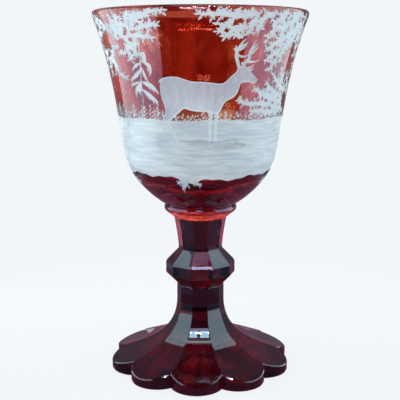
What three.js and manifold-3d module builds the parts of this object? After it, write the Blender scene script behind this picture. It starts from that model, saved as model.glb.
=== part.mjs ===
// A ruby-stained cut-glass goblet with a bell bowl, a ten-sided knopped stem and a scalloped foot.
// Five pieces of hot glass are stacked and fused on flat joints: foot, knop, upper stem, collar and bowl.
// Millimetres, +Z up, standing on z = 0 with the goblet's axis on Z and its front towards -Y.
import * as THREE from "three";
import { mergeVertices } from "three/addons/utils/BufferGeometryUtils.js";
import Module from "manifold-3d";

const wasm = await Module();
wasm.setup();

// Heights of the pieces, from the table up.
const footHeight = 38;
const knopHeight = 16.8;
const upperStemHeight = 14.4;
const collarHeight = 6.2;
const bowlHeight = 84.6;

// The cutter's panels. They are laid out by eye, so they wander by a few degrees up the stem.
const panelCount = 10;
const footTurn = -3;
const neckTurn = -0.5;
const stemTurn = 2.5;

// Radii over the ridges between panels, where the stem's pieces meet.
const neckRadius = 10.75;
const waistRadius = 9.95;

// Foot: a trumpet of flat-cut panels that ends in petals.
const footRadius = 41.4;
const notchDepth = 5.7;
const petalEdgeHeight = 4.4;
const neckLength = 6.5;
const flareDrop = 21.5;
const flareReach = 10;
const flareRise = 5;
const soleBevel = 1.2;
const dishRadius = 25;
const dishDepth = 2.2;

// Knop: two rows of slanting panels with an upright band between them.
const knopRadius = 15.8;
const knopLowerBevel = 5.3;
const knopUpperBevel = 6;

// Upper stem: its ridges flare to the collar and stand a little past the collar's base.
const stemTopRadius = 11.9;
const stemCurveRadius = 9.3;
const stemCurveHeight = 2.2;
const ridgeStand = 0.3;

// Collar: a round merese with a rolled edge over a plain bevel.
const collarRadius = 16.35;
const collarRoll = 2;
const seatInset = 0.75;

// Bowl: belly and flaring wall, one wall thickness from the belly up, with a full-round lip.
// A lean is how far the wall goes out for each millimetre that it rises.
const baseAngle = 30.6;
const basePull = 8;
const bellyRadius = 33.4;
const bellyHeight = 21;
const bellyLean = 0.287;
const bellyRound = 9;
const wallPull = 9.9;
const rimRadius = 47;
const rimLean = 0.376;
const rimPull = 29;
const wallThickness = 3.2;
const floorThickness = 10.5;
const cavityRound = 8.5;
const cavityFlat = 0.62;

// Cutting tools stand this far out of what they cut.
const overcut = 1;

// Steps along curves and round the axis.
const roundSteps = 72;
const curveSteps = 11;
const flareSteps = 18;
const rollSteps = 6;
const petalSteps = 12;

const collarSeatRadius = collarRadius - seatInset;
const halfPanel = Math.PI / panelCount;
const radians = THREE.MathUtils.degToRad;
const point = (radius, height) => new THREE.Vector2(radius, height);

// Turns a three.js geometry into a solid that can be cut and joined.
function solidOf(geometry) {
  const bare = new THREE.BufferGeometry();
  bare.setAttribute("position", geometry.getAttribute("position"));
  if (geometry.index) bare.setIndex(geometry.index);
  const merged = mergeVertices(bare, 1e-4);
  return new wasm.Manifold(new wasm.Mesh({
    numProp: 3,
    vertProperties: new Float32Array(merged.attributes.position.array),
    triVerts: new Uint32Array(merged.index.array),
  }));
}

function geometryOf(solid) {
  const mesh = solid.getMesh();
  const geometry = new THREE.BufferGeometry();
  geometry.setAttribute("position", new THREE.BufferAttribute(new Float32Array(mesh.vertProperties), 3));
  geometry.setIndex(new THREE.BufferAttribute(new Uint32Array(mesh.triVerts), 1));
  geometry.computeVertexNormals();
  return geometry;
}

// Revolves a profile of (radius, height) points, listed from the bottom of the axis round the outside.
function turned(profile) {
  const lathe = new THREE.LatheGeometry(profile, roundSteps);
  lathe.rotateX(Math.PI / 2);
  return lathe;
}

// Lofts polygons stacked up the axis; each ring has a height, a radius over the ridges and a turn in degrees.
function panelled(rings) {
  const positions = [];
  const faces = [];
  for (const ring of rings) {
    for (let panel = 0; panel < panelCount; panel++) {
      const angle = radians(ring.turn) + (2 * panel + 1) * halfPanel;
      positions.push(ring.radius * Math.sin(angle), -ring.radius * Math.cos(angle), ring.height);
    }
  }
  for (let level = 0; level + 1 < rings.length; level++) {
    for (let panel = 0; panel < panelCount; panel++) {
      const next = (panel + 1) % panelCount;
      const low = level * panelCount;
      const high = low + panelCount;
      faces.push(low + panel, low + next, high + next, low + panel, high + next, high + panel);
    }
  }
  const top = (rings.length - 1) * panelCount;
  for (let panel = 1; panel + 1 < panelCount; panel++) {
    faces.push(0, panel + 1, panel, top, top + panel, top + panel + 1);
  }
  const geometry = new THREE.BufferGeometry();
  geometry.setAttribute("position", new THREE.Float32BufferAttribute(positions, 3));
  geometry.setIndex(faces);
  geometry.computeVertexNormals();
  return geometry;
}

// The foot's outline from above: one arc for each petal, from notch to notch.
function petalOutline() {
  const notchRadius = footRadius - notchDepth;
  const halfChord = notchRadius * Math.sin(halfPanel);
  const chordDistance = notchRadius * Math.cos(halfPanel);
  const bulge = footRadius - chordDistance;
  const petalRadius = (halfChord ** 2 + bulge ** 2) / (2 * bulge);
  const centreDistance = footRadius - petalRadius;
  const halfSweep = Math.atan2(halfChord, chordDistance - centreDistance);
  const outline = new THREE.Shape();
  for (let petal = 0; petal < panelCount; petal++) {
    const middle = -Math.PI / 2 + radians(footTurn) + 2 * petal * halfPanel;
    outline.absarc(
      centreDistance * Math.cos(middle), centreDistance * Math.sin(middle),
      petalRadius, middle - halfSweep, middle + halfSweep, false,
    );
  }
  return outline;
}

// The foot's panels follow this curve, given as the distance of the flat panel from the axis.
function flareCurve() {
  const neckFlat = neckRadius * Math.cos(halfPanel);
  const flareTop = footHeight - neckLength;
  return new THREE.CubicBezierCurve(
    point(neckFlat, flareTop),
    point(neckFlat, flareTop - flareDrop),
    point(footRadius - flareReach, petalEdgeHeight + flareRise),
    point(footRadius, petalEdgeHeight),
  );
}

function makeFoot() {
  const flare = flareCurve().getPoints(flareSteps).reverse();
  const blankRadius = footRadius / Math.cos(halfPanel) + overcut;
  const rings = [
    { height: 0, radius: blankRadius, turn: footTurn },
    { height: petalEdgeHeight, radius: blankRadius, turn: footTurn },
  ];
  for (const place of flare) {
    const share = Math.max(0, place.y - petalEdgeHeight) / (footHeight - petalEdgeHeight);
    rings.push({
      height: place.y,
      radius: place.x / Math.cos(halfPanel),
      turn: THREE.MathUtils.lerp(footTurn, neckTurn, share),
    });
  }
  rings.push({ height: footHeight, radius: neckRadius, turn: neckTurn });
  const trumpet = solidOf(panelled(rings));

  const prism = new THREE.ExtrudeGeometry(petalOutline(), {
    depth: footHeight,
    curveSegments: petalSteps,
    bevelThickness: soleBevel,
    bevelSize: soleBevel,
    bevelOffset: -soleBevel,
    bevelSegments: 2,
  });
  prism.translate(0, 0, soleBevel);

  const dishSphere = (dishRadius ** 2 + dishDepth ** 2) / (2 * dishDepth);
  const dish = [point(0, -overcut), point(dishRadius, -overcut)];
  for (let step = 0; step <= rollSteps; step++) {
    const radius = dishRadius * (1 - step / rollSteps);
    dish.push(point(radius, Math.sqrt(dishSphere ** 2 - radius ** 2) - dishSphere + dishDepth));
  }
  return geometryOf(trumpet.intersect(solidOf(prism)).subtract(solidOf(turned(dish))));
}

function makeKnop() {
  return panelled([
    { height: 0, radius: neckRadius, turn: stemTurn },
    { height: knopLowerBevel, radius: knopRadius, turn: stemTurn },
    { height: knopHeight - knopUpperBevel, radius: knopRadius, turn: stemTurn },
    { height: knopHeight, radius: waistRadius, turn: stemTurn },
  ]);
}

function makeUpperStem() {
  const ridge = new THREE.QuadraticBezierCurve(
    point(waistRadius, 0),
    point(stemCurveRadius, stemCurveHeight),
    point(stemTopRadius, upperStemHeight),
  );
  return panelled(ridge.getPoints(rollSteps).map((place) => (
    { height: place.y, radius: place.x, turn: stemTurn }
  )));
}

function makeCollar() {
  const base = point(stemTopRadius - ridgeStand, 0);
  const seatAngle = Math.acos((collarSeatRadius - collarRadius + collarRoll) / collarRoll);
  const centre = point(collarRadius - collarRoll, collarHeight - collarRoll * Math.sin(seatAngle));

  // The bevel is the tangent from the collar's base to the rolled edge.
  const toCentre = centre.clone().sub(base);
  const bevelSlope = toCentre.angle() - Math.asin(collarRoll / toCentre.length());
  const profile = [point(0, 0), base];
  for (let step = 0; step <= rollSteps; step++) {
    const angle = THREE.MathUtils.lerp(bevelSlope - Math.PI / 2, seatAngle, step / rollSteps);
    profile.push(point(centre.x + collarRoll * Math.cos(angle), centre.y + collarRoll * Math.sin(angle)));
  }
  profile.push(point(0, collarHeight));
  return turned(profile);
}

function makeBowl() {
  const lean = Math.atan(rimLean);
  const lipRadius = wallThickness / 2;
  const base = radians(baseAngle);
  const belly = point(bellyRadius, bellyHeight);
  const edge = point(
    rimRadius - lipRadius * (1 - Math.cos(lean)),
    bowlHeight - lipRadius * (1 + Math.sin(lean)),
  );
  const lower = new THREE.CubicBezierCurve(
    point(collarSeatRadius, 0),
    point(collarSeatRadius + basePull * Math.cos(base), basePull * Math.sin(base)),
    point(belly.x - bellyLean * bellyRound, belly.y - bellyRound),
    belly,
  );
  const upper = new THREE.CubicBezierCurve(
    belly,
    point(belly.x + bellyLean * wallPull, belly.y + wallPull),
    point(edge.x - rimLean * rimPull, edge.y - rimPull),
    edge,
  );
  const outerWall = upper.getPoints(curveSteps);
  const innerWall = outerWall.map((place, step) => {
    const along = upper.getTangent(step / curveSteps);
    return point(place.x - along.y * wallThickness, place.y + along.x * wallThickness);
  });
  const lip = [];
  for (let step = 1; step < rollSteps; step++) {
    const angle = Math.PI * step / rollSteps;
    lip.push(point(
      edge.x + lipRadius * (-Math.cos(lean) * (1 - Math.cos(angle)) + Math.sin(lean) * Math.sin(angle)),
      edge.y + lipRadius * (Math.sin(lean) * (1 - Math.cos(angle)) + Math.cos(lean) * Math.sin(angle)),
    ));
  }
  const innerBelly = innerWall[0];
  const cavity = new THREE.CubicBezierCurve(
    innerBelly,
    point(innerBelly.x - bellyLean * cavityRound, innerBelly.y - cavityRound),
    point(innerBelly.x * cavityFlat, floorThickness),
    point(0, floorThickness),
  );
  return turned([
    point(0, 0),
    ...lower.getPoints(curveSteps).slice(0, -1),
    ...outerWall,
    ...lip,
    ...innerWall.reverse(),
    ...cavity.getPoints(curveSteps).slice(1),
  ]);
}

const rubyGlass = new THREE.MeshStandardMaterial({ color: 0x5a0814, roughness: 0.04, metalness: 0 });
const stainedBowl = new THREE.MeshStandardMaterial({
  color: 0x9a1a14, roughness: 0.05, metalness: 0, transparent: true, opacity: 0.7,
});

const goblet = new THREE.Group();
let level = 0;
const pieces = [
  ["foot", makeFoot, footHeight, rubyGlass],
  ["knop", makeKnop, knopHeight, rubyGlass],
  ["upper_stem", makeUpperStem, upperStemHeight, rubyGlass],
  ["collar", makeCollar, collarHeight, rubyGlass],
  ["bowl", makeBowl, bowlHeight, stainedBowl],
];
for (const [name, make, height, material] of pieces) {
  const mesh = new THREE.Mesh(make(), material.clone());
  mesh.name = name;
  mesh.position.z = level;
  goblet.add(mesh);
  level += height;
}

export default goblet;
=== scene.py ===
# %% [markdown]
# # A ruby-stained, wheel-engraved goblet
# This lesson dresses a measured goblet for a studio picture. The measured solids arrive as a fixed frame,
# and every finished piece is built in that frame, in metres, with the goblet's axis on Z and its front
# towards -Y. Lengths of the glass are written in millimetres, because glass is measured so, and become
# metres when a mesh is made. Node trees and the studio are written in metres.

# %% The measured frame
import bisect
import math
import random
from functools import partial

import bmesh
import bpy
from mathutils import Matrix, Vector, kdtree, noise
from mathutils.bvhtree import BVHTree
from mathutils.geometry import convex_hull_2d, delaunay_2d_cdt


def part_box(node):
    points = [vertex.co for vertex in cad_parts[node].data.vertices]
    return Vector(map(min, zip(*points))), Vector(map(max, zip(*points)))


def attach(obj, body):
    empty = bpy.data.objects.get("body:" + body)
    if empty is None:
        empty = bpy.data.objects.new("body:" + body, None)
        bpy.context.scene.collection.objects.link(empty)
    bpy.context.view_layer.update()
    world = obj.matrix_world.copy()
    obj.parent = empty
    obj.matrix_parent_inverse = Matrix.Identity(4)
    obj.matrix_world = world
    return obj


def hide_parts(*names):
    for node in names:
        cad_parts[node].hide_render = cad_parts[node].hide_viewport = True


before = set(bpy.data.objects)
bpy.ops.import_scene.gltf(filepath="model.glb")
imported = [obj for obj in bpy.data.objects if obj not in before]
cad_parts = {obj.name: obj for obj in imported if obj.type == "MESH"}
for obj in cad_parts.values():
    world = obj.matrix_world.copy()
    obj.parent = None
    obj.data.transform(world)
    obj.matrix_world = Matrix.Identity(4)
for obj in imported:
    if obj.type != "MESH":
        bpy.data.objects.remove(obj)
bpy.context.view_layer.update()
MM = 0.001
print("pieces in the frame:", sorted(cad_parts))

# %% [markdown]
# The picture was taken from a little under the rim, looking down by about ten degrees through a short
# telephoto lens. Its distance, height, pitch and lens fix the outline of the whole goblet in the view, so
# the camera comes first, and every later choice can be judged through it.

# %% Camera
CAMERA_DISTANCE = 347.8
CAMERA_HEIGHT = 139.7
CAMERA_PITCH = 10.28
CAMERA_LENS = 70.15
AXIS_SHIFT = -0.001


def in_scene(name, data):
    """A new object of the scene that shows some data."""
    made = bpy.data.objects.new(name, data)
    bpy.context.scene.collection.objects.link(made)
    return made


camera = in_scene("camera", bpy.data.cameras.new("camera"))
camera.location = (0, -CAMERA_DISTANCE * MM, CAMERA_HEIGHT * MM)
camera.rotation_euler = (math.radians(90 - CAMERA_PITCH), 0, 0)
camera.data.lens = CAMERA_LENS
camera.data.sensor_width = 36
camera.data.shift_x = AXIS_SHIFT
bpy.context.scene.camera = camera
bpy.context.scene.view_settings.view_transform = "Standard"
print("camera looks down by", CAMERA_PITCH, "degrees")

# %% [markdown]
# ## Curves, rings and meshes
# Every piece stands on the one below, so its heights come from the frame. The cutter worked ten panels
# round the axis, laid out by eye, so each piece has its own small turn.

# %% Heights, radii and turns
FOOT_TOP, KNOP_TOP, STEM_TOP, COLLAR_TOP, RIM_TOP = (
    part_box(piece)[1].z / MM for piece in ("foot", "knop", "upper_stem", "collar", "bowl")
)

PANELS = 10
HALF_PANEL = math.pi / PANELS
FOOT_TURN = math.radians(-3)
NECK_TURN = math.radians(-0.5)
STEM_TURN = math.radians(2.5)
NECK_RADIUS = 10.75
WAIST_RADIUS = 9.95
ARRIS = 0.22
print("heights:", [round(z, 2) for z in (FOOT_TOP, KNOP_TOP, STEM_TOP, COLLAR_TOP, RIM_TOP)])

# %% [markdown]
# A curve object would do, but two short formulas keep the profile exact: a Bezier curve from its control
# points, and a corner that is cut off by stepping back from it on both sides.

# %% Curve helpers
def bezier(controls, steps):
    """Points along a Bezier curve of any degree, first and last included."""
    found = []
    for step in range(steps + 1):
        share = step / steps
        points = [Vector(p) for p in controls]
        while len(points) > 1:
            points = [a.lerp(b, share) for a, b in zip(points, points[1:])]
        found.append(points[0])
    return found


def softened(profile, reaches):
    """Each inner corner of a profile becomes a short bevel that starts its own reach before it."""
    points = [Vector(p) for p in profile]
    found = [points[0]]
    for before, corner, after, reach in zip(points, points[1:], points[2:], reaches):
        found.append(corner + (before - corner).normalized() * reach)
        found.append(corner + (after - corner).normalized() * reach)
    return found + [points[-1]]


def directions(line, closed=False):
    """The way a line runs at each of its points, from the point before to the point after."""
    first, last = (line[-1], line[0]) if closed else (line[0], line[-1])
    return [(after - before).normalized() for before, after in zip([first] + line, line[1:] + [last])]


def round_axis(radius, height, turn):
    """The point or direction with a radius and a height, turned round the axis from the front."""
    return radius * math.sin(turn), -radius * math.cos(turn), height


print("a test curve ends at", tuple(bezier([(0, 0), (1, 0), (1, 1)], 4)[-1]))

# %% [markdown]
# ## Glass
# Stained glass is clear glass with a film of copper ruby fired into its skin, a hundredth of a millimetre
# deep. So the colour sits on the surface: light that goes in and out crosses it twice, which is why the
# stem looks almost black and a single layer glows orange. A transmissive surface with a tinted base
# colour does the same, since each crossing takes the square root of the colour. The film is never even:
# it pools in clouds and streaks, which one shared node group supplies to every stained piece.

# %% Nodes, for every material and tree
def node(tree, kind, sockets=None, **settings):
    """A new node with its settings made. Sockets pairs an input with its value, or with what feeds it."""
    made = tree.nodes.new(kind)
    for name, value in settings.items():
        setattr(made, name, value)
    for key, source in (sockets or {}).items():
        if isinstance(source, bpy.types.Node):
            source = source.outputs[0]
        if isinstance(source, bpy.types.NodeSocket):
            tree.links.new(source, made.inputs[key])
        else:
            made.inputs[key].default_value = source
    return made


def maths(tree, operation, *sources, clamp=False):
    """The result of a sum on numbers and outputs."""
    made = node(tree, "ShaderNodeMath", dict(enumerate(sources)), operation=operation, use_clamp=clamp)
    return made.outputs[0]


def ramp(tree, value, start, end, low=0, high=1, smooth=True):
    """Goes from low to high while a value goes from start to end."""
    made = node(tree, "ShaderNodeMapRange", {
        "Value": value, "From Min": start, "From Max": end, "To Min": low, "To Max": high,
    }, interpolation_type="SMOOTHSTEP" if smooth else "LINEAR")
    return made.outputs[0]


def new_group(name, kind, inputs, outputs):
    """An empty node group with its sockets, and the outlets of its inputs."""
    tree = bpy.data.node_groups.new(name, kind)
    for way, sockets in (("INPUT", inputs), ("OUTPUT", outputs)):
        for socket, sort in sockets.items():
            tree.interface.new_socket(socket, in_out=way, socket_type="NodeSocket" + sort)
    return tree, node(tree, "NodeGroupInput").outputs


# %% The stain's clouds, shared by the stained pieces
PETALS_START = (0.014, 0.022)
PETALS_UNDERSIDE = 0.0042
WAVES_PER_METRE = 90
RAYS_AT = 0.04
RAY_LENGTHS = 0.3
CLOUD_EDGES = (0.38, 0.72)
FINER = 7
GRAIN = 0.3
BEHIND_RISE = 40
SWELL_MIDDLE = 0.001
SWELL_RATE = 200


def stain_group():
    """Cloudy stain: a thick and a thin film colour mixed by noise, and a height for hand-made waviness.
    Streak stretches the clouds along Z, Lean thickens them right of the back's middle and thins them at it.
    Rays lays them out from the axis and keeps them to the upper side of the petals. The last input thins
    all;
    the stem feeds it with painted light, a glow through glass seen at a slant."""
    tree, given = new_group("cloudy stain", "ShaderNodeTree", {
        "Thick": "Color", "Thin": "Color", "Cloud Size": "Float", "Streak": "Float",
        "Rays": "Float", "Lean": "Float", "Bare": "Float",
    }, {"Color": "Color", "Height": "Float"})
    calc = partial(maths, tree)
    place = node(tree, "ShaderNodeTexCoord").outputs["Object"]
    x, y, z = node(tree, "ShaderNodeSeparateXYZ", {0: place}).outputs
    out = calc("SQRT", calc("ADD", calc("MULTIPLY", x, x), calc("MULTIPLY", y, y)))
    straight = node(tree, "ShaderNodeCombineXYZ", {0: x, 1: y, 2: calc("MULTIPLY", z, given["Streak"])})
    away = calc("DIVIDE", RAYS_AT, calc("MAXIMUM", out, 0.001))
    rays = node(tree, "ShaderNodeCombineXYZ", {
        0: calc("MULTIPLY", x, away), 1: calc("MULTIPLY", y, away), 2: calc("MULTIPLY", out, RAY_LENGTHS),
    })
    layout = node(tree, "ShaderNodeMix", {"Factor": given["Rays"], 4: straight, 5: rays}, data_type="VECTOR")
    cloud = node(tree, "ShaderNodeTexNoise", {
        "Vector": layout.outputs[1], "Scale": given["Cloud Size"], "Detail": 3, "Distortion": 0.6,
    })
    fine = node(tree, "ShaderNodeTexNoise", {
        "Vector": layout.outputs[1], "Scale": calc("MULTIPLY", given["Cloud Size"], FINER), "Detail": 2,
    })
    grain = calc("MULTIPLY", calc("SUBTRACT", fine, 0.5), GRAIN)
    behind = calc("MULTIPLY", y, BEHIND_RISE, clamp=True)
    swell = calc("SINE", calc("MULTIPLY", calc("SUBTRACT", x, SWELL_MIDDLE), SWELL_RATE))
    lean = calc("MULTIPLY", swell, calc("MULTIPLY", behind, given["Lean"]))
    clouds = ramp(tree, calc("SUBTRACT", calc("ADD", cloud, grain), lean), *CLOUD_EDGES)
    upper = calc("MULTIPLY", ramp(tree, out, *PETALS_START), calc("GREATER_THAN", z, PETALS_UNDERSIDE))
    kept = calc("SUBTRACT", 1, calc("MULTIPLY", given["Rays"], calc("SUBTRACT", 1, upper)))
    thin = calc("ADD", calc("MULTIPLY", clouds, kept), given["Bare"], clamp=True)
    film = node(tree, "ShaderNodeMix", {
        "Factor": thin, 6: given["Thick"], 7: given["Thin"],
    }, data_type="RGBA")
    wave = node(tree, "ShaderNodeTexNoise", {"Vector": place, "Scale": WAVES_PER_METRE, "Detail": 1})
    node(tree, "NodeGroupOutput", {"Color": film.outputs[2], "Height": wave})
    return tree


STAIN = stain_group()
print("stain group sockets:", [item.name for item in STAIN.interface.items_tree])

# %% [markdown]
# The film's skin mirrors more than plain glass does, and in its own tone: slate on the stem and foot,
# lavender on the bowl. A coat over the glass would do it too, but it would mirror evenly; a tint and a
# level on the specular sockets keep the reflection in the glass's own skin. On the stem the film is
# thinned where a panel turns from the view, and more for rays through glass: painted light, which stands
# in for the glow through glass seen at a slant and gives the bright red lines down both sides of it.

# %% Stained glass
IOR = 1.52
SLATE_SHEEN = (0.55, 0.85, 1.0, 1)
LAVENDER_SHEEN = (0.85, 0.62, 0.95, 1)
COLLAR_SHEEN = (0.54, 0.62, 1.0, 1)
LIP_SHEEN = (1.0, 0.6, 0.62, 1)
GRAZING_FACING = (0.35, 0.7)


def glass_material(name, color, sockets):
    """Clear, plain glass of one colour, but for what sockets sets on its surface."""
    material = bpy.data.materials.new(name)
    material.use_nodes = True
    surface = material.node_tree.nodes["Principled BSDF"]
    plain = {"Base Color": (*color, 1), "Roughness": 0, "IOR": IOR, "Transmission Weight": 1}
    for key, value in {**plain, **sockets}.items():
        surface.inputs[key].default_value = value
    return material


def vary(material, color, height, depth):
    """Feeds a glass with a colour that changes over the surface, and with the small relief of a height."""
    tree = material.node_tree
    surface = tree.nodes["Principled BSDF"]
    bump = node(tree, "ShaderNodeBump", {"Strength": 1, "Distance": depth, "Height": height})
    tree.links.new(color, surface.inputs["Base Color"])
    tree.links.new(bump.outputs[0], surface.inputs["Normal"])
    return material


def stained_material(name, sheen, thick, thin, cloud_size, streak, wave,
                     rays=0.0, lean=0.0, edge=0.0, shine=0.5, roughness=0.0):
    """Glass under a cloudy film, with the slight waves of a fire-polished skin.
    Edge thins the film where the surface turns from the view, and more so for rays that come through glass:
    a painted glow that stands in for light through glass seen at a slant. Shine is the level of its mirror."""
    material = glass_material(name, thick, {
        "Specular Tint": sheen, "Specular IOR Level": shine, "Roughness": roughness,
    })
    tree = material.node_tree
    grazing_light = 0
    # Painted light: the film thins where the surface turns from view, as if light shone through at a slant.
    if edge:
        facing = node(tree, "ShaderNodeLayerWeight").outputs["Facing"]
        inside = node(tree, "ShaderNodeLightPath").outputs["Is Transmission Ray"]
        tilt = maths(tree, "MULTIPLY", facing, maths(tree, "MULTIPLY_ADD", inside, 2, 1))
        grazing_light = ramp(tree, tilt, *GRAZING_FACING, high=edge, smooth=False)
    film = node(tree, "ShaderNodeGroup", {
        "Thick": (*thick, 1), "Thin": (*thin, 1), "Cloud Size": cloud_size, "Streak": streak,
        "Rays": rays, "Lean": lean, "Bare": grazing_light,
    }, node_tree=STAIN)
    return vary(material, film.outputs["Color"], film.outputs["Height"], wave)


RUBY = stained_material("ruby stain", SLATE_SHEEN, (0.012, 0.001, 0.003), (0.14, 0.003, 0.004),
                        60, 0.5, 0.00002)
# Painted light: its edge setting thins the film on panels turned from view, for the red side lines.
STEM_STAIN = stained_material("stem stain", SLATE_SHEEN, (0.03, 0.0025, 0.005), (0.55, 0.045, 0.06),
                              20, 0.3, 0.00001, rays=1.0, edge=1.0, shine=0.07)
FOOT_STAIN = stained_material("foot stain", SLATE_SHEEN, (0.018, 0.001, 0.003), (0.2, 0.002, 0.006),
                              110, 1, 0.00002, rays=1.0)
SOLE_STAIN = stained_material("ground sole", SLATE_SHEEN, (0.03, 0.0012, 0.003), (0.3, 0.002, 0.004),
                              60, 1, 0.0001, roughness=0.22)
COLLAR_STAIN = stained_material("collar stain", COLLAR_SHEEN, (0.5, 0.003, 0.002), (0.8, 0.014, 0.004),
                                90, 1, 0.00001, shine=0.0)
ROLL_STAIN = stained_material("roll stain", COLLAR_SHEEN, (0.10, 0.001, 0.002), (0.4, 0.004, 0.003),
                              90, 1, 0.00001, shine=1.0)
# Painted reflection: a plum film on two knop panels stands in for a lavender light mirrored there.
PLUM_REFLECTION_STAIN = stained_material("painted plum reflection", SLATE_SHEEN, (0.42, 0.16, 0.28), (0.55, 0.25, 0.40),
                              90, 1, 0.00001)
PLUM_REFLECTION_BACK_STAIN = stained_material("painted plum reflection behind", SLATE_SHEEN, (0.03, 0.008, 0.015), (0.05, 0.012, 0.025),
                                90, 1, 0.00001)
LIP_STAIN = stained_material("lip stain", LIP_SHEEN, (0.14, 0.003, 0.003), (0.42, 0.03, 0.02),
                             45, 0.35, 0.00001)
BOWL_STAIN = stained_material("bowl stain", LAVENDER_SHEEN, (0.17, 0.003, 0.001), (0.62, 0.065, 0.02),
                              45, 0.35, 0.000015, lean=0.15, shine=0.33)
MIDDLE_STAIN = stained_material("middle stain", LAVENDER_SHEEN, (0.045, 0.0008, 0.001),
                                (0.13, 0.002, 0.002), 60, 0.5, 0.00002, shine=0.12)
DEEP_STAIN = stained_material("deep stain", LAVENDER_SHEEN, (0.025, 0.0006, 0.0016),
                              (0.08, 0.0012, 0.0018), 60, 0.5, 0.00002, shine=0.05)
print("stained glass:", [m.name for m in bpy.data.materials])

# %% [markdown]
# Where the wheel has cut, the glass is clear again but matt. Plain roughness would turn the cuts into
# milky windows, so they are mostly a pale skin and only a third glass. The ground's tone follows the
# wheel's long strokes, and it is a little darker round the stag's feet, where the wheel passed only once.
# Where two gathers of glass are fused there is no surface at all, so that glass is fully see-through.

# %% Cut and clear glass
MATT = {"Roughness": 0.75, "Transmission Weight": 0.35}
FEET = (0.003, -0.036, 0.111)
SHADE_REACH = 0.024
CUT_GRAIN = 0.0001


def frosted_material(name, dark, light, cloud_size, stretch, sockets, shade=0.0):
    """Matt glass whose tone runs in streaks along the wheel's path, across or up the wall.
    Shade darkens it round the stag's feet."""
    material = glass_material(name, light, sockets)
    tree = material.node_tree
    place = node(tree, "ShaderNodeTexCoord").outputs["Object"]
    along = node(tree, "ShaderNodeVectorMath", {0: place, 1: stretch}, operation="MULTIPLY")
    streaks = node(tree, "ShaderNodeTexNoise", {
        "Vector": along, "Scale": cloud_size, "Detail": 3, "Distortion": 0.4,
    })
    away = node(tree, "ShaderNodeVectorMath", {0: place, 1: FEET}, operation="DISTANCE").outputs["Value"]
    shading = ramp(tree, away, 0, SHADE_REACH, low=shade, high=0)
    tone = ramp(tree, maths(tree, "SUBTRACT", streaks, shading), 0.3, 0.7, smooth=False)
    mix = node(tree, "ShaderNodeMix", {"Factor": tone, 6: (*dark, 1), 7: (*light, 1)}, data_type="RGBA")
    return vary(material, mix.outputs[2], streaks.outputs[0], CUT_GRAIN)


FROST = glass_material("wheel-cut frost", (0.64, 0.75, 0.79), MATT)
GROUND = frosted_material("brushed ground", (0.46, 0.55, 0.61), (0.77, 0.86, 0.88), 700, (0.12, 0.12, 1),
                          MATT, shade=0.2)
SATIN = frosted_material("satin hollow", (0.37, 0.425, 0.50), (0.47, 0.53, 0.60), 500, (1, 1, 0.15),
                         {**MATT, "Roughness": 0.6})
CLEAR = glass_material("clear glass", (0.98, 0.99, 0.98), {"Specular IOR Level": 0.25})
JOINT = glass_material("fused joint", (1, 1, 1), {"Alpha": 0})
print("glass:", len(bpy.data.materials), "kinds")

# %% [markdown]
# ## Panels round the axis
# A cutter repeats one panel ten times, so the mesh does too: a sector one panel wide is modelled once,
# and a node tree turns copies of it round the axis, welds them and twists the stack by a degree or two,
# as the real panels wander. Faces where two gathers of glass are fused have no surface in the real thing,
# so they carry a marker and get a material that lets light straight through.

# %% The node tree that turns one sector into a piece
WELD = 2e-6
SLIVER = 1e-7


def round_the_axis():
    """Geometry nodes: copies of a sector round Z, welded, then twisted between two heights."""
    tree, given = new_group("round the axis", "GeometryNodeTree", {
        "Geometry": "Geometry", "Copies": "Int", "Low": "Float", "High": "Float",
        "Low Turn": "Float", "High Turn": "Float", "Glass": "Material", "Joint": "Material",
    }, {"Geometry": "Geometry"})
    points = node(tree, "GeometryNodePoints", {"Count": given["Copies"]})
    share = maths(tree, "DIVIDE", node(tree, "GeometryNodeInputIndex"), given["Copies"])
    turn = node(tree, "ShaderNodeCombineXYZ", {"Z": maths(tree, "MULTIPLY", share, math.tau)})
    copies = node(tree, "GeometryNodeInstanceOnPoints", {
        "Points": points, "Instance": given["Geometry"], "Rotation": turn,
    })
    real = node(tree, "GeometryNodeRealizeInstances", {0: copies})
    weld = node(tree, "GeometryNodeMergeByDistance", {"Geometry": real, "Distance": WELD})
    place = node(tree, "GeometryNodeInputPosition")
    height = node(tree, "ShaderNodeSeparateXYZ", {0: place}).outputs["Z"]
    twist = ramp(tree, height, given["Low"], given["High"],
                 low=given["Low Turn"], high=given["High Turn"], smooth=False)
    turned = node(tree, "ShaderNodeVectorRotate", {
        "Vector": place, "Angle": twist,
    }, rotation_type="Z_AXIS")
    moved = node(tree, "GeometryNodeSetPosition", {"Geometry": weld, "Position": turned})
    skin = node(tree, "GeometryNodeSetMaterial", {"Geometry": moved, "Material": given["Glass"]})
    marked = node(tree, "GeometryNodeInputNamedAttribute", {"Name": "joint"}, data_type="BOOLEAN")
    open_face = node(tree, "GeometryNodeSetMaterial", {
        "Geometry": skin, "Selection": marked.outputs["Attribute"], "Material": given["Joint"],
    })
    node(tree, "NodeGroupOutput", {0: open_face})
    return tree


AXIS_TREE = round_the_axis()


def grown(name, mesh, tree, **values):
    """What a node tree makes of a mesh, as a plain mesh with no modifier left. Values are the tree's
    inputs by name; each is set by its socket's identifier."""
    holder = in_scene(mesh.name, mesh)
    modifier = holder.modifiers.new(name, "NODES")
    modifier.node_group = tree
    for item in tree.interface.items_tree:
        key = item.name.replace(" ", "_").lower()
        if item.in_out == "INPUT" and key in values:
            modifier[item.identifier] = values[key]
    bpy.context.view_layer.update()
    depsgraph = bpy.context.evaluated_depsgraph_get()
    result = bpy.data.meshes.new_from_object(holder.evaluated_get(depsgraph))
    result.name = name
    bpy.data.objects.remove(holder)
    bpy.data.meshes.remove(mesh)
    return result


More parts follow.
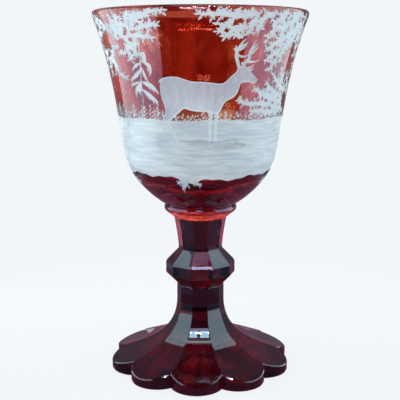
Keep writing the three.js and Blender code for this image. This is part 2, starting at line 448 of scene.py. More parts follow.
def panelled_piece(name, grid, joints, turns, twist_from=None, glass=RUBY, sharp_degrees=7):
    """One sector's points and faces, turned round the axis into a closed piece.
    grid is a list of rows of points; joints names the ends whose cap is a fused joint."""
    points = [p for row in grid for p in row]
    width = len(grid[0])
    faces = []
    for row in range(len(grid) - 1):
        for column in range(width - 1):
            corner = row * width + column
            faces.append((corner, corner + 1, corner + 1 + width, corner + width))
    walls = len(faces)
    for row, top in ((0, False), (len(grid) - 1, True)):
        centre = len(points)
        points.append((0, 0, grid[row][0][2]))
        start = row * width
        for column in range(width - 1):
            pair = (start + column, start + column + 1)
            faces.append((*pair, centre) if top else (*reversed(pair), centre))
    mesh = bpy.data.meshes.new(name + "_sector")
    mesh.from_pydata([[c * MM for c in p] for p in points], [], faces)
    marks = mesh.attributes.new("joint", "BOOLEAN", "FACE")
    caps = [row in joints for row in ("bottom", "top") for _ in range(width - 1)]
    marks.data.foreach_set("value", [False] * walls + caps)
    heights = [row[0][2] for row in grid]
    low = min(heights) if twist_from is None else twist_from
    result = grown(name, mesh, AXIS_TREE, copies=PANELS, low=low * MM, high=max(heights) * MM,
                   low_turn=turns[0], high_turn=turns[1], glass=glass, joint=JOINT)
    work = bmesh.new()
    work.from_mesh(result)
    bmesh.ops.dissolve_degenerate(work, dist=SLIVER, edges=work.edges)
    bmesh.ops.recalc_face_normals(work, faces=work.faces)
    work.to_mesh(result)
    work.free()
    result.shade_smooth()
    result.set_sharp_from_angle(angle=math.radians(sharp_degrees))
    print(name, "has", len(result.polygons), "faces")
    return in_scene(name, result)


def reskin(piece, glass, chosen):
    """Gives another glass to the faces whose normal is chosen."""
    piece.data.materials.append(glass)
    for face in piece.data.polygons:
        if chosen(face.normal) and piece.data.materials[face.material_index] != JOINT:
            face.material_index = len(piece.data.materials) - 1


print("tree inputs:", [i.name for i in AXIS_TREE.interface.items_tree if i.in_out == "INPUT"])

# %% [markdown]
# A ridge between two ground panels is never a perfect corner: polishing leaves a narrow arris that
# catches the light as a pale line. Each ring of a sector therefore steps back from its corner by the
# arris and meets the neighbouring panel in a point between the corner and the chord.

# %% One ring of a sector
COLUMNS = 8


def ring(height, ridge_radius, roundness=0.0, columns=COLUMNS):
    """Points across one panel at a height, from ridge to ridge; roundness 1 is a full circle."""
    flat = ridge_radius * math.cos(HALF_PANEL)
    half_width = ridge_radius * math.sin(HALF_PANEL)
    edge_angle = math.atan2(half_width - ARRIS, flat)
    edge_radius = math.hypot(half_width - ARRIS, flat)
    chord = edge_radius * math.cos(HALF_PANEL - edge_angle)
    apex = (chord + ridge_radius) / 2
    row = []
    for column in range(columns + 1):
        share = 2 * column / columns - 1
        angle = edge_angle * share
        radius = flat / math.cos(angle)
        row.append((angle, radius))
    row = [(-HALF_PANEL, apex), *row, (HALF_PANEL, apex)]
    points = []
    for angle, radius in row:
        points.append(round_axis(radius + (ridge_radius - radius) * roundness, height, angle))
    return points


print("a ring has", len(ring(0, 10)), "points")

# %% [markdown]
# ## The knop and the upper stem
# The knop is a bead of glass cut with two rows of slanting panels and an upright band between them. Its
# lower end stands on the foot's neck, where a fine groove shows the joint. The upper stem is waisted and
# flares towards the collar. Both are plain stacks of rings. On the knop two slanting panels carry a
# painted plum reflection in their film: an upper one in front, and the lower one across from it, which
# shows through the glass.

# %% Knop
KNOP_RADIUS = 15.8
KNOP_LOWER = 5.3
KNOP_UPPER = 6.0
LOWER_BEVEL = 0.24
UPPER_BEVEL = 0.7
SEAM_RADIUS = 10.35
SEAM_HEIGHT = 0.3
SIDEWAYS = 0.15
TILTED = 0.3

knop_profile = softened([
    (NECK_RADIUS, FOOT_TOP + SEAM_HEIGHT),
    (KNOP_RADIUS, FOOT_TOP + KNOP_LOWER),
    (KNOP_RADIUS, KNOP_TOP - KNOP_UPPER),
    (WAIST_RADIUS, KNOP_TOP),
], (LOWER_BEVEL, UPPER_BEVEL))
knop_rings = [ring(FOOT_TOP, SEAM_RADIUS, 1.0)]
knop_rings += [ring(height, radius) for radius, height in knop_profile]
knop = panelled_piece("knop_glass", knop_rings, ("bottom", "top"), (STEM_TURN, STEM_TURN))
# Painted reflection: plum film on the upper front panel and on the lower back panel seen through it.
reskin(knop, PLUM_REFLECTION_STAIN, lambda normal: abs(normal.x) < SIDEWAYS and min(-normal.y, normal.z) > TILTED)
reskin(knop, PLUM_REFLECTION_BACK_STAIN, lambda normal: abs(normal.x) < SIDEWAYS and min(normal.y, -normal.z) > TILTED)

# %% Upper stem
STEM_TOP_RADIUS = 11.9
STEM_CURVE = ((WAIST_RADIUS, KNOP_TOP), (9.9, KNOP_TOP + 3.6), (STEM_TOP_RADIUS, STEM_TOP))
stem_rings = [ring(height, radius) for radius, height in bezier(STEM_CURVE, 16)]
upper_stem = panelled_piece("upper_stem_glass", stem_rings, ("bottom", "top"), (STEM_TURN, STEM_TURN),
                            glass=STEM_STAIN)

# %% [markdown]
# ## The foot
# The foot's panels run down from the neck, swing out along a trumpet curve and end in ten petals, each a
# single arc from notch to notch. Seen in plan, a panel keeps to its ridges as far as the notches, and past
# them to the petal's arc, so one grid covers both: rows follow the curve down, and then the arc in.

# %% Foot
FOOT_RADIUS = 41.4
NOTCH_DEPTH = 5.7
PETAL_EDGE = 4.4
FLARE_TOP = FOOT_TOP - 6.5
FLARE_DROP = 21.5
FLARE_REACH = 10
FLARE_RISE = 5
SOLE_BEVEL = 1.2
DISH_RADIUS = 25
DISH_DEPTH = 2.2
DISH_STEPS = 8
PETAL_ARRIS = 0.35
NOTCH_CLEAR = 0.4
FLARE_STRIDE = 3
NECK_RING = 2

neck_flat = NECK_RADIUS * math.cos(HALF_PANEL)
FLARE = bezier([
    (neck_flat, FLARE_TOP), (neck_flat, FLARE_TOP - FLARE_DROP),
    (FOOT_RADIUS - FLARE_REACH, PETAL_EDGE + FLARE_RISE), (FOOT_RADIUS, PETAL_EDGE),
], 120)

notch_radius = FOOT_RADIUS - NOTCH_DEPTH
half_chord = notch_radius * math.sin(HALF_PANEL)
bulge = FOOT_RADIUS - notch_radius * math.cos(HALF_PANEL)
petal_radius = (half_chord ** 2 + bulge ** 2) / (2 * bulge)
petal_centre = FOOT_RADIUS - petal_radius


def flare_height(distance):
    """Height of a panel at a distance from the axis, on the flare curve."""
    for a, b in zip(FLARE, FLARE[1:]):
        if a.x <= distance <= b.x and b.x > a.x:
            return a.y + (b.y - a.y) * (distance - a.x) / (b.x - a.x)
    return FLARE[-1].y


def petal_arc(inset, columns):
    """Plan points (across, out) of a petal's arc, moved in by inset, from notch to notch."""
    radius = petal_radius - inset
    reach = HALF_PANEL + math.asin(petal_centre * math.sin(HALF_PANEL) / radius)
    arc = []
    for column in range(columns + 1):
        angle = reach * (2 * column / columns - 1)
        arc.append((radius * math.sin(angle), petal_centre + radius * math.cos(angle)))
    return arc


def foot_sector():
    """Rows of points from the sole's centre out, up the petal's wall and in along the panel to the neck."""
    columns = 2 * COLUMNS + 2
    rows = []
    plans = [petal_arc(inset, columns) for inset in (SOLE_BEVEL, SOLE_BEVEL / 3, 0, 0)]
    sphere = (DISH_RADIUS ** 2 + DISH_DEPTH ** 2) / (2 * DISH_DEPTH)
    for step in range(1, DISH_STEPS + 1):
        radius = DISH_RADIUS * step / DISH_STEPS
        rise = math.sqrt(sphere ** 2 - radius ** 2) - sphere + DISH_DEPTH
        scales = [radius / math.hypot(*spot) for spot in plans[0]]
        rows.append([(across * scale, -out * scale, rise) for (across, out), scale in zip(plans[0], scales)])
    for plan, height in zip(plans, (0, SOLE_BEVEL / 3, SOLE_BEVEL, None)):
        rows.append([(across, -out, flare_height(out) - PETAL_ARRIS if height is None else height)
                     for across, out in plan])
    rim = petal_arc(PETAL_ARRIS, columns)
    rows.append([(across, -out, flare_height(out)) for across, out in rim])
    notch_out = rim[0][1]
    inner = [place for place in FLARE if place.x < notch_out - NOTCH_CLEAR][::-FLARE_STRIDE]
    for place in inner:
        blend = max(0.0, 1 - (notch_out - place.x) / (FOOT_RADIUS - notch_out))
        half_width = place.x * math.tan(HALF_PANEL)
        row = []
        for column, (across, out) in enumerate(rim):
            end = column in (0, columns)
            even = (2 * (column - 1) / (columns - 2) - 1) * (1 - ARRIS / half_width)
            if end:
                even = math.copysign(1, even)
            x = half_width * (even + (across / rim[-1][0] - even) * blend)
            distance = place.x + (out - notch_out) * blend
            pulled = 1 - math.sin(2 * HALF_PANEL) * ARRIS / (4 * place.x) if end else 1
            row.append((x * pulled, -distance * pulled, flare_height(distance)))
        rows.append(row)
    for height in (FOOT_TOP - NECK_RING, FOOT_TOP - SEAM_HEIGHT):
        rows.append(ring(height, NECK_RADIUS, 0.0, columns - 2))
    rows.append(ring(FOOT_TOP, SEAM_RADIUS, 1.0, columns - 2))
    return rows


foot = panelled_piece("foot_glass", foot_sector(), ("top",), (FOOT_TURN, NECK_TURN), twist_from=PETAL_EDGE,
                      glass=FOOT_STAIN)
reskin(foot, SOLE_STAIN, lambda normal: normal.z < -0.5)

# %% [markdown]
# ## The collar
# Between stem and bowl sits a merese, a ring of glass with a rolled edge. Its bevel was cut together with
# the stem's panels, so it starts as the stem's ten-sided outline and is round a third of a millimetre up.

# %% Collar
COLLAR_RADIUS = 16.35
COLLAR_ROLL = 2.0
SEAT_RADIUS = 15.6
ROUND_COLUMNS = 12
BEVEL_INSET = 0.3
BEVEL_CUT = 0.3
ROLL_STEPS = 12

seat_angle = math.acos((SEAT_RADIUS - COLLAR_RADIUS + COLLAR_ROLL) / COLLAR_ROLL)
roll_centre = Vector((COLLAR_RADIUS - COLLAR_ROLL, COLLAR_TOP - COLLAR_ROLL * math.sin(seat_angle)))
bevel_start = Vector((STEM_TOP_RADIUS - BEVEL_INSET, STEM_TOP))
to_centre = roll_centre - bevel_start
bevel_slope = math.atan2(to_centre.y, to_centre.x) - math.asin(COLLAR_ROLL / to_centre.length)

collar_rings = [ring(STEM_TOP, STEM_TOP_RADIUS, 0.0, ROUND_COLUMNS)]
round_radius = bevel_start.x + BEVEL_CUT / math.tan(bevel_slope)
collar_rings.append(ring(STEM_TOP + BEVEL_CUT, round_radius, 1.0, ROUND_COLUMNS))
for step in range(ROLL_STEPS + 1):
    angle = bevel_slope - math.pi / 2 + (seat_angle - bevel_slope + math.pi / 2) * step / ROLL_STEPS
    collar_rings.append(ring(
        roll_centre.y + COLLAR_ROLL * math.sin(angle), roll_centre.x + COLLAR_ROLL * math.cos(angle),
        1.0, ROUND_COLUMNS,
    ))
collar = panelled_piece("collar_glass", collar_rings, ("bottom", "top"), (STEM_TURN, STEM_TURN),
                        glass=COLLAR_STAIN, sharp_degrees=30)
reskin(collar, ROLL_STAIN, lambda normal: normal.z > -0.55)

# %% [markdown]
# ## The bowl's wall
# The bowl is blown: a bell whose wall keeps one thickness from the belly up and thickens into the base.
# Its profile is two Bezier curves outside, a full-round lip, the same wall offset inwards, and a cavity.

# %% The bowl's profile
BASE_ANGLE = math.radians(30.6)
BASE_PULL = 8
BELLY = Vector((33.4, COLLAR_TOP + 21))
BELLY_LEAN = 0.287
BELLY_ROUND = 9
WALL_PULL = 9.9
RIM_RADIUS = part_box("bowl")[1].x / MM
RIM_LEAN = 0.376
RIM_PULL = 29
WALL = 3.2
FLOOR = 10.5
CAVITY_ROUND = 8.5
CAVITY_FLAT = 0.62
LIP_STEPS = 12
LIP_ON_SHEET = 4

rim_tilt = math.atan(RIM_LEAN)
lip = WALL / 2
lip_edge = Vector((RIM_RADIUS - lip * (1 - math.cos(rim_tilt)), RIM_TOP - lip * (1 + math.sin(rim_tilt))))
LOWER_WALL = bezier([
    (SEAT_RADIUS, COLLAR_TOP),
    (SEAT_RADIUS + BASE_PULL * math.cos(BASE_ANGLE), COLLAR_TOP + BASE_PULL * math.sin(BASE_ANGLE)),
    (BELLY.x - BELLY_LEAN * BELLY_ROUND, BELLY.y - BELLY_ROUND),
    BELLY,
], 40)
UPPER_WALL = bezier([
    BELLY,
    (BELLY.x + BELLY_LEAN * WALL_PULL, BELLY.y + WALL_PULL),
    (lip_edge.x - RIM_LEAN * RIM_PULL, lip_edge.y - RIM_PULL),
    lip_edge,
], 60)


def inner_profile():
    """The lip and the clear inside, from the outer edge over the lip and down to the cavity's middle."""
    rolled = []
    for step in range(1, LIP_STEPS):
        angle = math.pi * step / LIP_STEPS
        back = 1 - math.cos(angle)
        rolled.append(Vector((
            lip_edge.x + lip * (-math.cos(rim_tilt) * back + math.sin(rim_tilt) * math.sin(angle)),
            lip_edge.y + lip * (math.sin(rim_tilt) * back + math.cos(rim_tilt) * math.sin(angle)),
        )))
    inside = [Vector((here.x - along.y * WALL, here.y + along.x * WALL))
              for here, along in zip(UPPER_WALL, directions(UPPER_WALL))]
    belly = inside[0]
    cavity = bezier([
        belly,
        (belly.x - BELLY_LEAN * CAVITY_ROUND, belly.y - CAVITY_ROUND),
        (belly.x * CAVITY_FLAT, COLLAR_TOP + FLOOR),
        (0, COLLAR_TOP + FLOOR),
    ], 40)
    return rolled, inside[::-1] + cavity[1:]


rolled_lip, INSIDE = inner_profile()
OUTER_WALL = LOWER_WALL + UPPER_WALL[1:] + rolled_lip[:LIP_ON_SHEET]
LIP = rolled_lip[LIP_ON_SHEET:]
print("bowl wall from radius", round(OUTER_WALL[0].x, 2), "to", round(OUTER_WALL[-1].x, 2))

# %% [markdown]
# ## The engraved frieze
# After staining, a copper wheel cuts through the ruby film into clear glass, so every cut shows frosty
# white. The subject is the woodland scene that such goblets have carried for generations: a stag on a pale
# ground, firs, and leafy boughs hanging from the rim. A bump map would only fake it, so the cuts are
# real: the scene is drawn on a flat sheet, the sheet is triangulated round the drawing, the drawn faces
# are pressed in, and the sheet is rolled on the bowl's wall. On the sheet, the first number is the way
# round the bowl in millimetres, at a radius of 40 mm, with 0 at the front, and the second is the height.

# %% Lines and cuts on the sheet
SHEET_RADIUS = 40.0
SHEET_END = math.pi * SHEET_RADIUS
SHEET_LOW = 83.0
SHEET_HIGH = OUTER_WALL[-1].y


def spline(points, steps=5, closed=False):
    """A smooth line through a few given points."""
    spots = [Vector(p) for p in points]
    count = len(spots)
    found = []
    for i in range(count if closed else count - 1):
        if closed:
            a, b, c, d = (spots[(i + k) % count] for k in (-1, 0, 1, 2))
        else:
            a, b, c, d = (spots[min(max(i + k, 0), count - 1)] for k in (-1, 0, 1, 2))
        for step in range(steps):
            t = step / steps
            found.append(b + (c - a) * (t / 2) + (a - 2.5 * b + 2 * c - d / 2) * t ** 2
                         + (1.5 * (b - c) + (d - a) / 2) * t ** 3)
    return found if closed else found + [spots[-1]]


def leftward(along):
    """The direction to the left of a way."""
    return Vector((-along.y, along.x))


def width_at(widths, share):
    """Width at a share of a line's length, between widths spread evenly along it."""
    place = share * (len(widths) - 1)
    before = min(int(place), len(widths) - 2)
    return widths[before] + (widths[before + 1] - widths[before]) * (place - before)


def stroke(points, widths, steps=4):
    """One cut of the wheel: a polygon along a smooth line, as wide as the widths say."""
    line = spline(points, steps)
    left, right = [], []
    for i, (here, along) in enumerate(zip(line, directions(line))):
        side = leftward(along) * width_at(widths, i / (len(line) - 1)) / 2
        left.append(here + side)
        right.append(here - side)
    return right + left[::-1]


def ribbon(line, widths):
    """A broad cut along a line of short steps, as one convex polygon for each step."""
    outline = stroke(line, widths, 1)
    last = len(outline) - 1
    found = []
    for i in range(len(line) - 1):
        corners = [outline[i], outline[i + 1], outline[last - i - 1], outline[last - i]]
        found.append([corners[k] for k in convex_hull_2d(corners)])
    return found


def shrunk(outline, inset):
    """An outline moved inwards; the outline runs anticlockwise."""
    return [here + leftward(along) * inset for here, along in zip(outline, directions(outline, closed=True))]


print("sheet:", round(2 * SHEET_END, 1), "mm round, heights", SHEET_LOW, "to", round(SHEET_HIGH, 2))

# %% [markdown]
# The stag stands in profile. An engraver cuts the body as one shallow hollow with bright edges, and then
# the legs, the antlers and the tail with single tapering strokes. The drawing does the same: one outline
# through a few points, and strokes for all that is thin. Four hair lines mark the muscles.

# %% The stag
STAG_BODY = spline([
    (-16.6, 131.3), (-17.3, 127.4), (-16.9, 124.2), (-15.7, 120.6), (-15.8, 118.2), (-16.9, 115.6),
    (-15.7, 114.7), (-14.0, 115.1), (-12.2, 116.2), (-9.4, 118.4), (-7.0, 120.1), (-4.0, 119.3),
    (-0.1, 118.9), (3.4, 118.8), (5.6, 118.0), (8.2, 118.6), (9.7, 121.4), (11.2, 123.1), (14.2, 124.5),
    (15.8, 126.2), (16.6, 128.3), (17.0, 129.9), (18.6, 130.4), (20.8, 130.4), (22.9, 129.8), (24.2, 130.4),
    (24.8, 131.5), (23.8, 132.5), (21.4, 134.3), (19.1, 136.3), (17.0, 137.0), (15.2, 136.4), (14.5, 134.7),
    (12.4, 132.8), (10.4, 130.9), (8.4, 130.0), (5.1, 130.3), (1.5, 130.7), (-3.4, 130.9), (-6.6, 131.8),
    (-9.4, 132.6), (-12.3, 132.7), (-15.1, 132.3),
], closed=True)
LEGS = (
    ((-16.0, 117.6), (-16.7, 113.4), (-17.6, 109.0)),
    ((-14.9, 117.0), (-13.7, 112.2), (-10.7, 107.0)),
    ((4.7, 119.6), (4.3, 113.4), (4.4, 106.9)),
    ((7.2, 119.6), (6.9, 112.8), (6.9, 106.7)),
)
LEG_WIDTHS = (2.6, 1.7, 1.3, 1.2, 1.2)
BEAMS = (
    ((15.6, 136.2), (14.4, 139.0), (13.8, 141.3), (14.4, 143.4), (15.6, 145.7), (16.9, 147.3)),
    ((17.4, 136.6), (18.0, 138.4), (19.4, 139.7), (19.4, 141.9), (20.1, 144.0), (21.5, 147.0)),
)
TINES = (
    ((14.2, 141.2), (13.3, 142.8), (12.5, 143.7)),
    ((14.1, 142.2), (13.5, 143.7), (13.3, 144.8)),
    ((15.1, 144.3), (16.7, 145.0), (18.1, 146.1)),
    ((14.6, 143.0), (16.2, 143.7), (17.6, 144.9)),
    ((19.8, 142.6), (21.2, 144.1), (22.6, 146.1)),
    ((19.6, 141.3), (21.3, 142.6), (23.1, 144.7)),
    ((16.2, 137.7), (19.2, 138.4), (22.2, 138.5), (24.5, 139.4)),
    ((14.0, 141.7), (15.3, 140.7), (17.4, 140.5), (19.5, 141.4)),
    ((18.6, 135.7), (20.5, 136.3), (22.3, 137.4)),
    ((19.8, 134.9), (21.2, 135.4), (22.4, 136.2)),
    ((-15.6, 131.6), (-16.8, 131.2), (-17.8, 130.3)),
)
stag_cuts = [STAG_BODY]
stag_cuts += [stroke(leg, LEG_WIDTHS) for leg in LEGS]
stag_cuts += [stroke(beam, (1.3, 1.5, 1.2, 0.4)) for beam in BEAMS]
stag_cuts += [stroke(tine, (1.0, 0.85, 0.3)) for tine in TINES]
MUSCLES = (
    ((-11.6, 130.6), (-9.9, 126.6), (-10.6, 122.4), (-13.2, 118.4)),
    ((4.4, 129.0), (5.6, 125.2), (4.8, 121.4)),
    ((8.6, 128.6), (9.6, 125.0), (8.6, 121.8)),
    ((13.6, 133.4), (15.2, 130.6), (14.4, 127.8)),
)
stag_core = [shrunk(STAG_BODY, 0.5)]
muscle_cuts = [stroke(line, (0.1, 0.25, 0.1)) for line in MUSCLES]
print("stag:", len(stag_cuts), "cuts,", len(STAG_BODY), "points round the body")

# %% [markdown]
# A fir is a thin trunk with drooping fronds. Each frond is one broad stroke, and the wheel's corner then
# flicks three needles from its lower edge. The fir is drawn once, round its own trunk, and set at four
# places, mirrored every second time.

# %% Firs
FIR_TRUNK = ((0.5, 145.0), (0.0, 139.1), (-1.2, 131.2), (-1.7, 123.2), (-2.0, 115.5))
FIR_FRONDS = (
    (2.6, (0.2, 141.6), (1.8, 141.2), (2.7, 139.6)),
    (1.9, (0.1, 138.9), (3.2, 137.4), (4.1, 136.0), (4.5, 133.8)),
    (1.4, (-0.1, 138.0), (-2.7, 137.0), (-5.3, 135.4)),
    (1.5, (-0.3, 136.8), (0.8, 133.5), (2.7, 129.9)),
    (2.0, (-0.5, 135.7), (-3.4, 133.2), (-7.4, 131.3)),
    (2.2, (-1.2, 130.6), (3.2, 129.0), (6.5, 127.0)),
    (1.2, (-1.2, 130.6), (-5.6, 129.6), (-8.2, 128.6)),
    (1.8, (-1.2, 130.0), (-4.4, 127.8), (-5.7, 125.0)),
    (1.4, (-1.3, 129.2), (-2.6, 127.5), (-3.2, 125.4)),
    (0.5, (-5.0, 126.0), (-5.4, 124.4), (-5.6, 122.6)),
    (2.3, (-1.4, 127.6), (2.0, 125.1), (6.5, 122.4)),
)
FIR_PLACES = (-25.0, 62.0, 97.0, -66.0)
NEEDLE_SPOTS = (0.45, 0.62, 0.8)


def fir(across, mirror, seed):
    """A fir's cuts at a place on the sheet: trunk, fronds and the needles that hang from each frond."""
    chance = random.Random(seed)

    def placed(points):
        return [Vector((across + mirror * x, y)) for x, y in points]

    cuts = [stroke(placed(FIR_TRUNK), (0.7, 0.6, 0.5))]
    for width, *frond in FIR_FRONDS:
        cuts.append(stroke(placed(frond), (0.4, 0.7 * width, width, 0.6 * width, 0.15)))
        line = spline(frond, 5)
        down = -1 if frond[-1][0] > frond[0][0] else 1
        for share in NEEDLE_SPOTS:
            spot = line[int(share * (len(line) - 1))]
            along = (line[-1] - line[-4]).normalized()
            reach = width * chance.uniform(1.0, 1.4)
            along.rotate(Matrix.Rotation(down * chance.uniform(0.35, 0.65), 2))
            cuts.append(stroke(placed((spot, spot + along * reach * 0.5, spot + along * reach)),
                               (0.45 * width, 0.4 * width, 0.12), 2))
    return cuts


fir_cuts = []
for number, across in enumerate(FIR_PLACES):
    fir_cuts += fir(across, 1 - 2 * (number % 2), number)
print("firs:", len(fir_cuts), "cuts")

# %% [markdown]
# Boughs of an oak-like tree hang from the rim on both sides of the stag and all round the back. A bough
# is a smooth line with side twigs. The front's are set one by one, and the back's by chance, from a
# fixed seed, hanging from the rim in four clumps with open glass between them. Short upright tufts stand
# along the ground's upper edge, and a few sprigs hang from its lower edge.

# %% Boughs and undergrowth, as lines
LEFT_BOUGHS = (
    ((-27.3, 152.6), (-21.2, 155.3), (-16.9, 156.4), (-12.6, 156.6)),
    ((-27.9, 150.8), (-22.1, 151.8), (-17.8, 152.8), (-15.6, 152.4)),
    ((-30.2, 148.5), (-23.8, 148.6), (-18.3, 147.9)),
    ((-32.7, 149.3), (-28.5, 145.6), (-24.9, 145.3)),
    ((-27.9, 150.8), (-28.2, 154.0), (-26.8, 156.8)),
    ((-26.0, 152.7), (-23.6, 156.6)),
    ((-31.4, 146.8), (-32.0, 151.0), (-30.4, 155.0)),
    ((-35.0, 147.1), (-36.1, 151.8), (-36.4, 156.0)),
    ((-33.1, 148.6), (-33.5, 153.0), (-32.8, 156.0)),
    ((-35.0, 147.1), (-39.0, 150.3), (-42.3, 152.6)),
    ((-31.6, 146.2), (-30.6, 142.3), (-29.0, 138.8)),
    ((-29.9, 144.6), (-27.1, 143.0), (-26.2, 141.1)),
    ((-35.7, 145.5), (-42.3, 142.4), (-42.9, 138.3), (-40.2, 134.2), (-35.2, 131.7)),
    ((-41.3, 152.0), (-44.8, 153.9), (-48.5, 155.6)),
    ((-43.5, 141.0), (-47.5, 138.5), (-48.5, 133.0)),
    ((-46.0, 152.0), (-50.0, 154.5), (-54.0, 156.5)),
    ((-47.0, 150.0), (-51.5, 150.0), (-56.0, 148.5)),
    ((-46.0, 143.0), (-50.5, 141.5), (-53.5, 136.0)),
)
RIGHT_BOUGHS = (
    ((21.4, 156.0), (13.4, 154.9), (7.1, 155.5), (2.5, 155.5), (-0.6, 155.5)),
    ((13.4, 154.6), (12.1, 157.0)),
    ((7.4, 155.4), (8.4, 157.0)),
    ((18.0, 154.6), (17.2, 157.0)),
    ((10.7, 154.1), (8.1, 151.5), (6.7, 149.9)),
    ((14.5, 152.7), (10.8, 149.9), (8.7, 147.5)),
    ((16.3, 152.8), (13.6, 150.4), (12.6, 148.6)),
    ((19.1, 154.5), (18.2, 151.5), (17.9, 149.6)),
    ((28.0, 156.4), (22.4, 154.4), (21.5, 150.6)),
    ((28.0, 153.8), (28.4, 149.6), (26.1, 147.1)),
    ((33.5, 147.8), (29.5, 144.4), (26.9, 142.9)),
    ((35.2, 143.9), (31.1, 141.1), (28.0, 139.5)),
    ((34.4, 140.7), (31.8, 137.1), (30.7, 135.1)),
    ((37.2, 145.5), (36.5, 140.7), (36.2, 138.6)),
    ((31.2, 157.2), (33.4, 152.0), (34.3, 146.0), (34.8, 142.6)),
    ((37.5, 157.0), (38.4, 151.0), (38.8, 145.6)),
    ((43.1, 129.2), (41.9, 133.0), (40.0, 135.6)),
    ((48.0, 125.7), (38.7, 130.0), (34.0, 133.2)),
    ((46.6, 123.2), (35.0, 127.0), (30.4, 130.2)),
    ((42.3, 121.8), (30.0, 125.1), (24.6, 128.1)),
    ((46.2, 119.4), (29.6, 121.6), (21.9, 121.9), (16.4, 123.0)),
    ((44.3, 117.6), (30.1, 118.6), (23.5, 118.8)),
    ((44.0, 156.8), (46.5, 151.0), (46.5, 146.0)),
    ((52.0, 153.0), (51.5, 147.0), (48.5, 141.0)),
    ((56.0, 146.0), (54.5, 140.0), (51.0, 134.0)),
    ((53.0, 124.0), (50.5, 129.0), (46.5, 133.0)),
    ((43.0, 156.8), (38.0, 153.5), (33.0, 152.5), (29.5, 151.0)),
    ((45.0, 153.0), (40.0, 149.5), (36.0, 148.0), (32.0, 147.8)),
    ((44.5, 149.0), (40.0, 145.5), (37.0, 143.5)),
    ((34.0, 157.2), (30.5, 154.8), (28.0, 152.8)),
    ((40.0, 157.2), (42.5, 153.0), (42.5, 149.0), (41.0, 144.5)),
    ((48.5, 157.0), (49.5, 152.0), (48.5, 147.5)),
    ((47.0, 121.0), (40.0, 122.8), (34.0, 124.8), (29.5, 126.6)),
    ((50.0, 118.0), (44.0, 119.6), (37.0, 119.8)),
)
RAISED_FROM = 153
RAISED_BY = 0.35
TWIG_ANGLES = (42, 62)
BACK_CLUMPS = ((58.0, 74.0), (84.0, 99.0), (-100.0, -84.0), (-76.0, -56.0))


def bough(points, chance, twig=3.0, gap=1.4):
    """A bough's own line and its side twigs, which shorten towards the tip. Near the rim the whole bough
    is drawn out a little, up to the rim."""
    spine = spline([(x, y + max(0, y - RAISED_FROM) * RAISED_BY) for x, y in points], 6)
    lines = [spine]
    walked = gap / 2
    side = 1
    for before, here in zip(spine, spine[1:]):
        walked += (here - before).length
        if walked < gap:
            continue
        walked = 0
        along = (here - before).normalized()
        remains = (spine[-1] - here).length / (spine[-1] - spine[0]).length
        reach = twig * (0.3 + 0.7 * min(1, remains * 1.5)) * chance.uniform(0.75, 1.2)
        turn = side * math.radians(chance.uniform(*TWIG_ANGLES))
        tip = here + (along * math.cos(turn) + leftward(along) * math.sin(turn)) * reach
        lines.append([here, here.lerp(tip, 0.5) + along * 0.12 * reach, tip])
        side = -side
    return lines


chance = random.Random(11)
front_twigs = []
for points in LEFT_BOUGHS + RIGHT_BOUGHS:
    front_twigs += bough(points, chance)
back_twigs = []
for start, end in BACK_CLUMPS:
    across = start
    while across < end:
        root = Vector((across, chance.uniform(153.5, 156.5)))
        reach = chance.uniform(8, 17)
        hang = chance.uniform(-0.9, 0.9)
        tip = root + Vector((math.sin(hang), -math.cos(hang))) * reach
        bend = root.lerp(tip, 0.5) + Vector((chance.uniform(-2, 2), chance.uniform(0, 1.5)))
        back_twigs += bough([root, bend, tip], chance, gap=2.0)
        across += chance.uniform(3.0, 4.6)

GROUND_TOP = 115.4
SPRIGS = (
    ((-7.3, 89.8), (-9.8, 89.8), (-12.2, 88.9)),
    ((-7.3, 89.8), (-8.2, 88.2), (-10.0, 86.8)),
    ((-7.3, 89.8), (-3.8, 89.4), (-0.4, 88.3)),
    ((-49.5, 88.6), (-47.2, 87.6), (-45.2, 87.2)),
    ((49.5, 88.6), (47.2, 87.6), (45.2, 87.2)),
)
tufts = []
across = -SHEET_END + 3
while across < SHEET_END - 3:
    tall = chance.uniform(1.2, 3.0) * (2.0 if across < -17 else 1.2)
    rooted = Vector((across, GROUND_TOP - 0.8))
    tufts.append([rooted, rooted + Vector((chance.uniform(-0.9, 0.9), tall))])
    across += chance.uniform(1.3, 2.3)
sprigs = []
for line in SPRIGS:
    sprigs += bough(line, chance, twig=1.2)
print("lines:", len(front_twigs) + len(back_twigs), "in the boughs and", len(tufts), "in the undergrowth")

# %% [markdown]
# Leaves grow on those lines, a few thousand of them, so a node tree sets them: it samples each line
# at even steps, puts a pointed leaf at each sample, alternately to either side, and varies size and angle
# a little. The result stays flat, ready to be cut into the sheet.

# %% The leaf tree
SPREADS = (0.6, 1.25)
SIZES = (0.75, 1.2)
LINE_END = 0.99
LEAF_CORNERS = 6
BUTT_WIDTH = 1.5
TAPER = 1.35


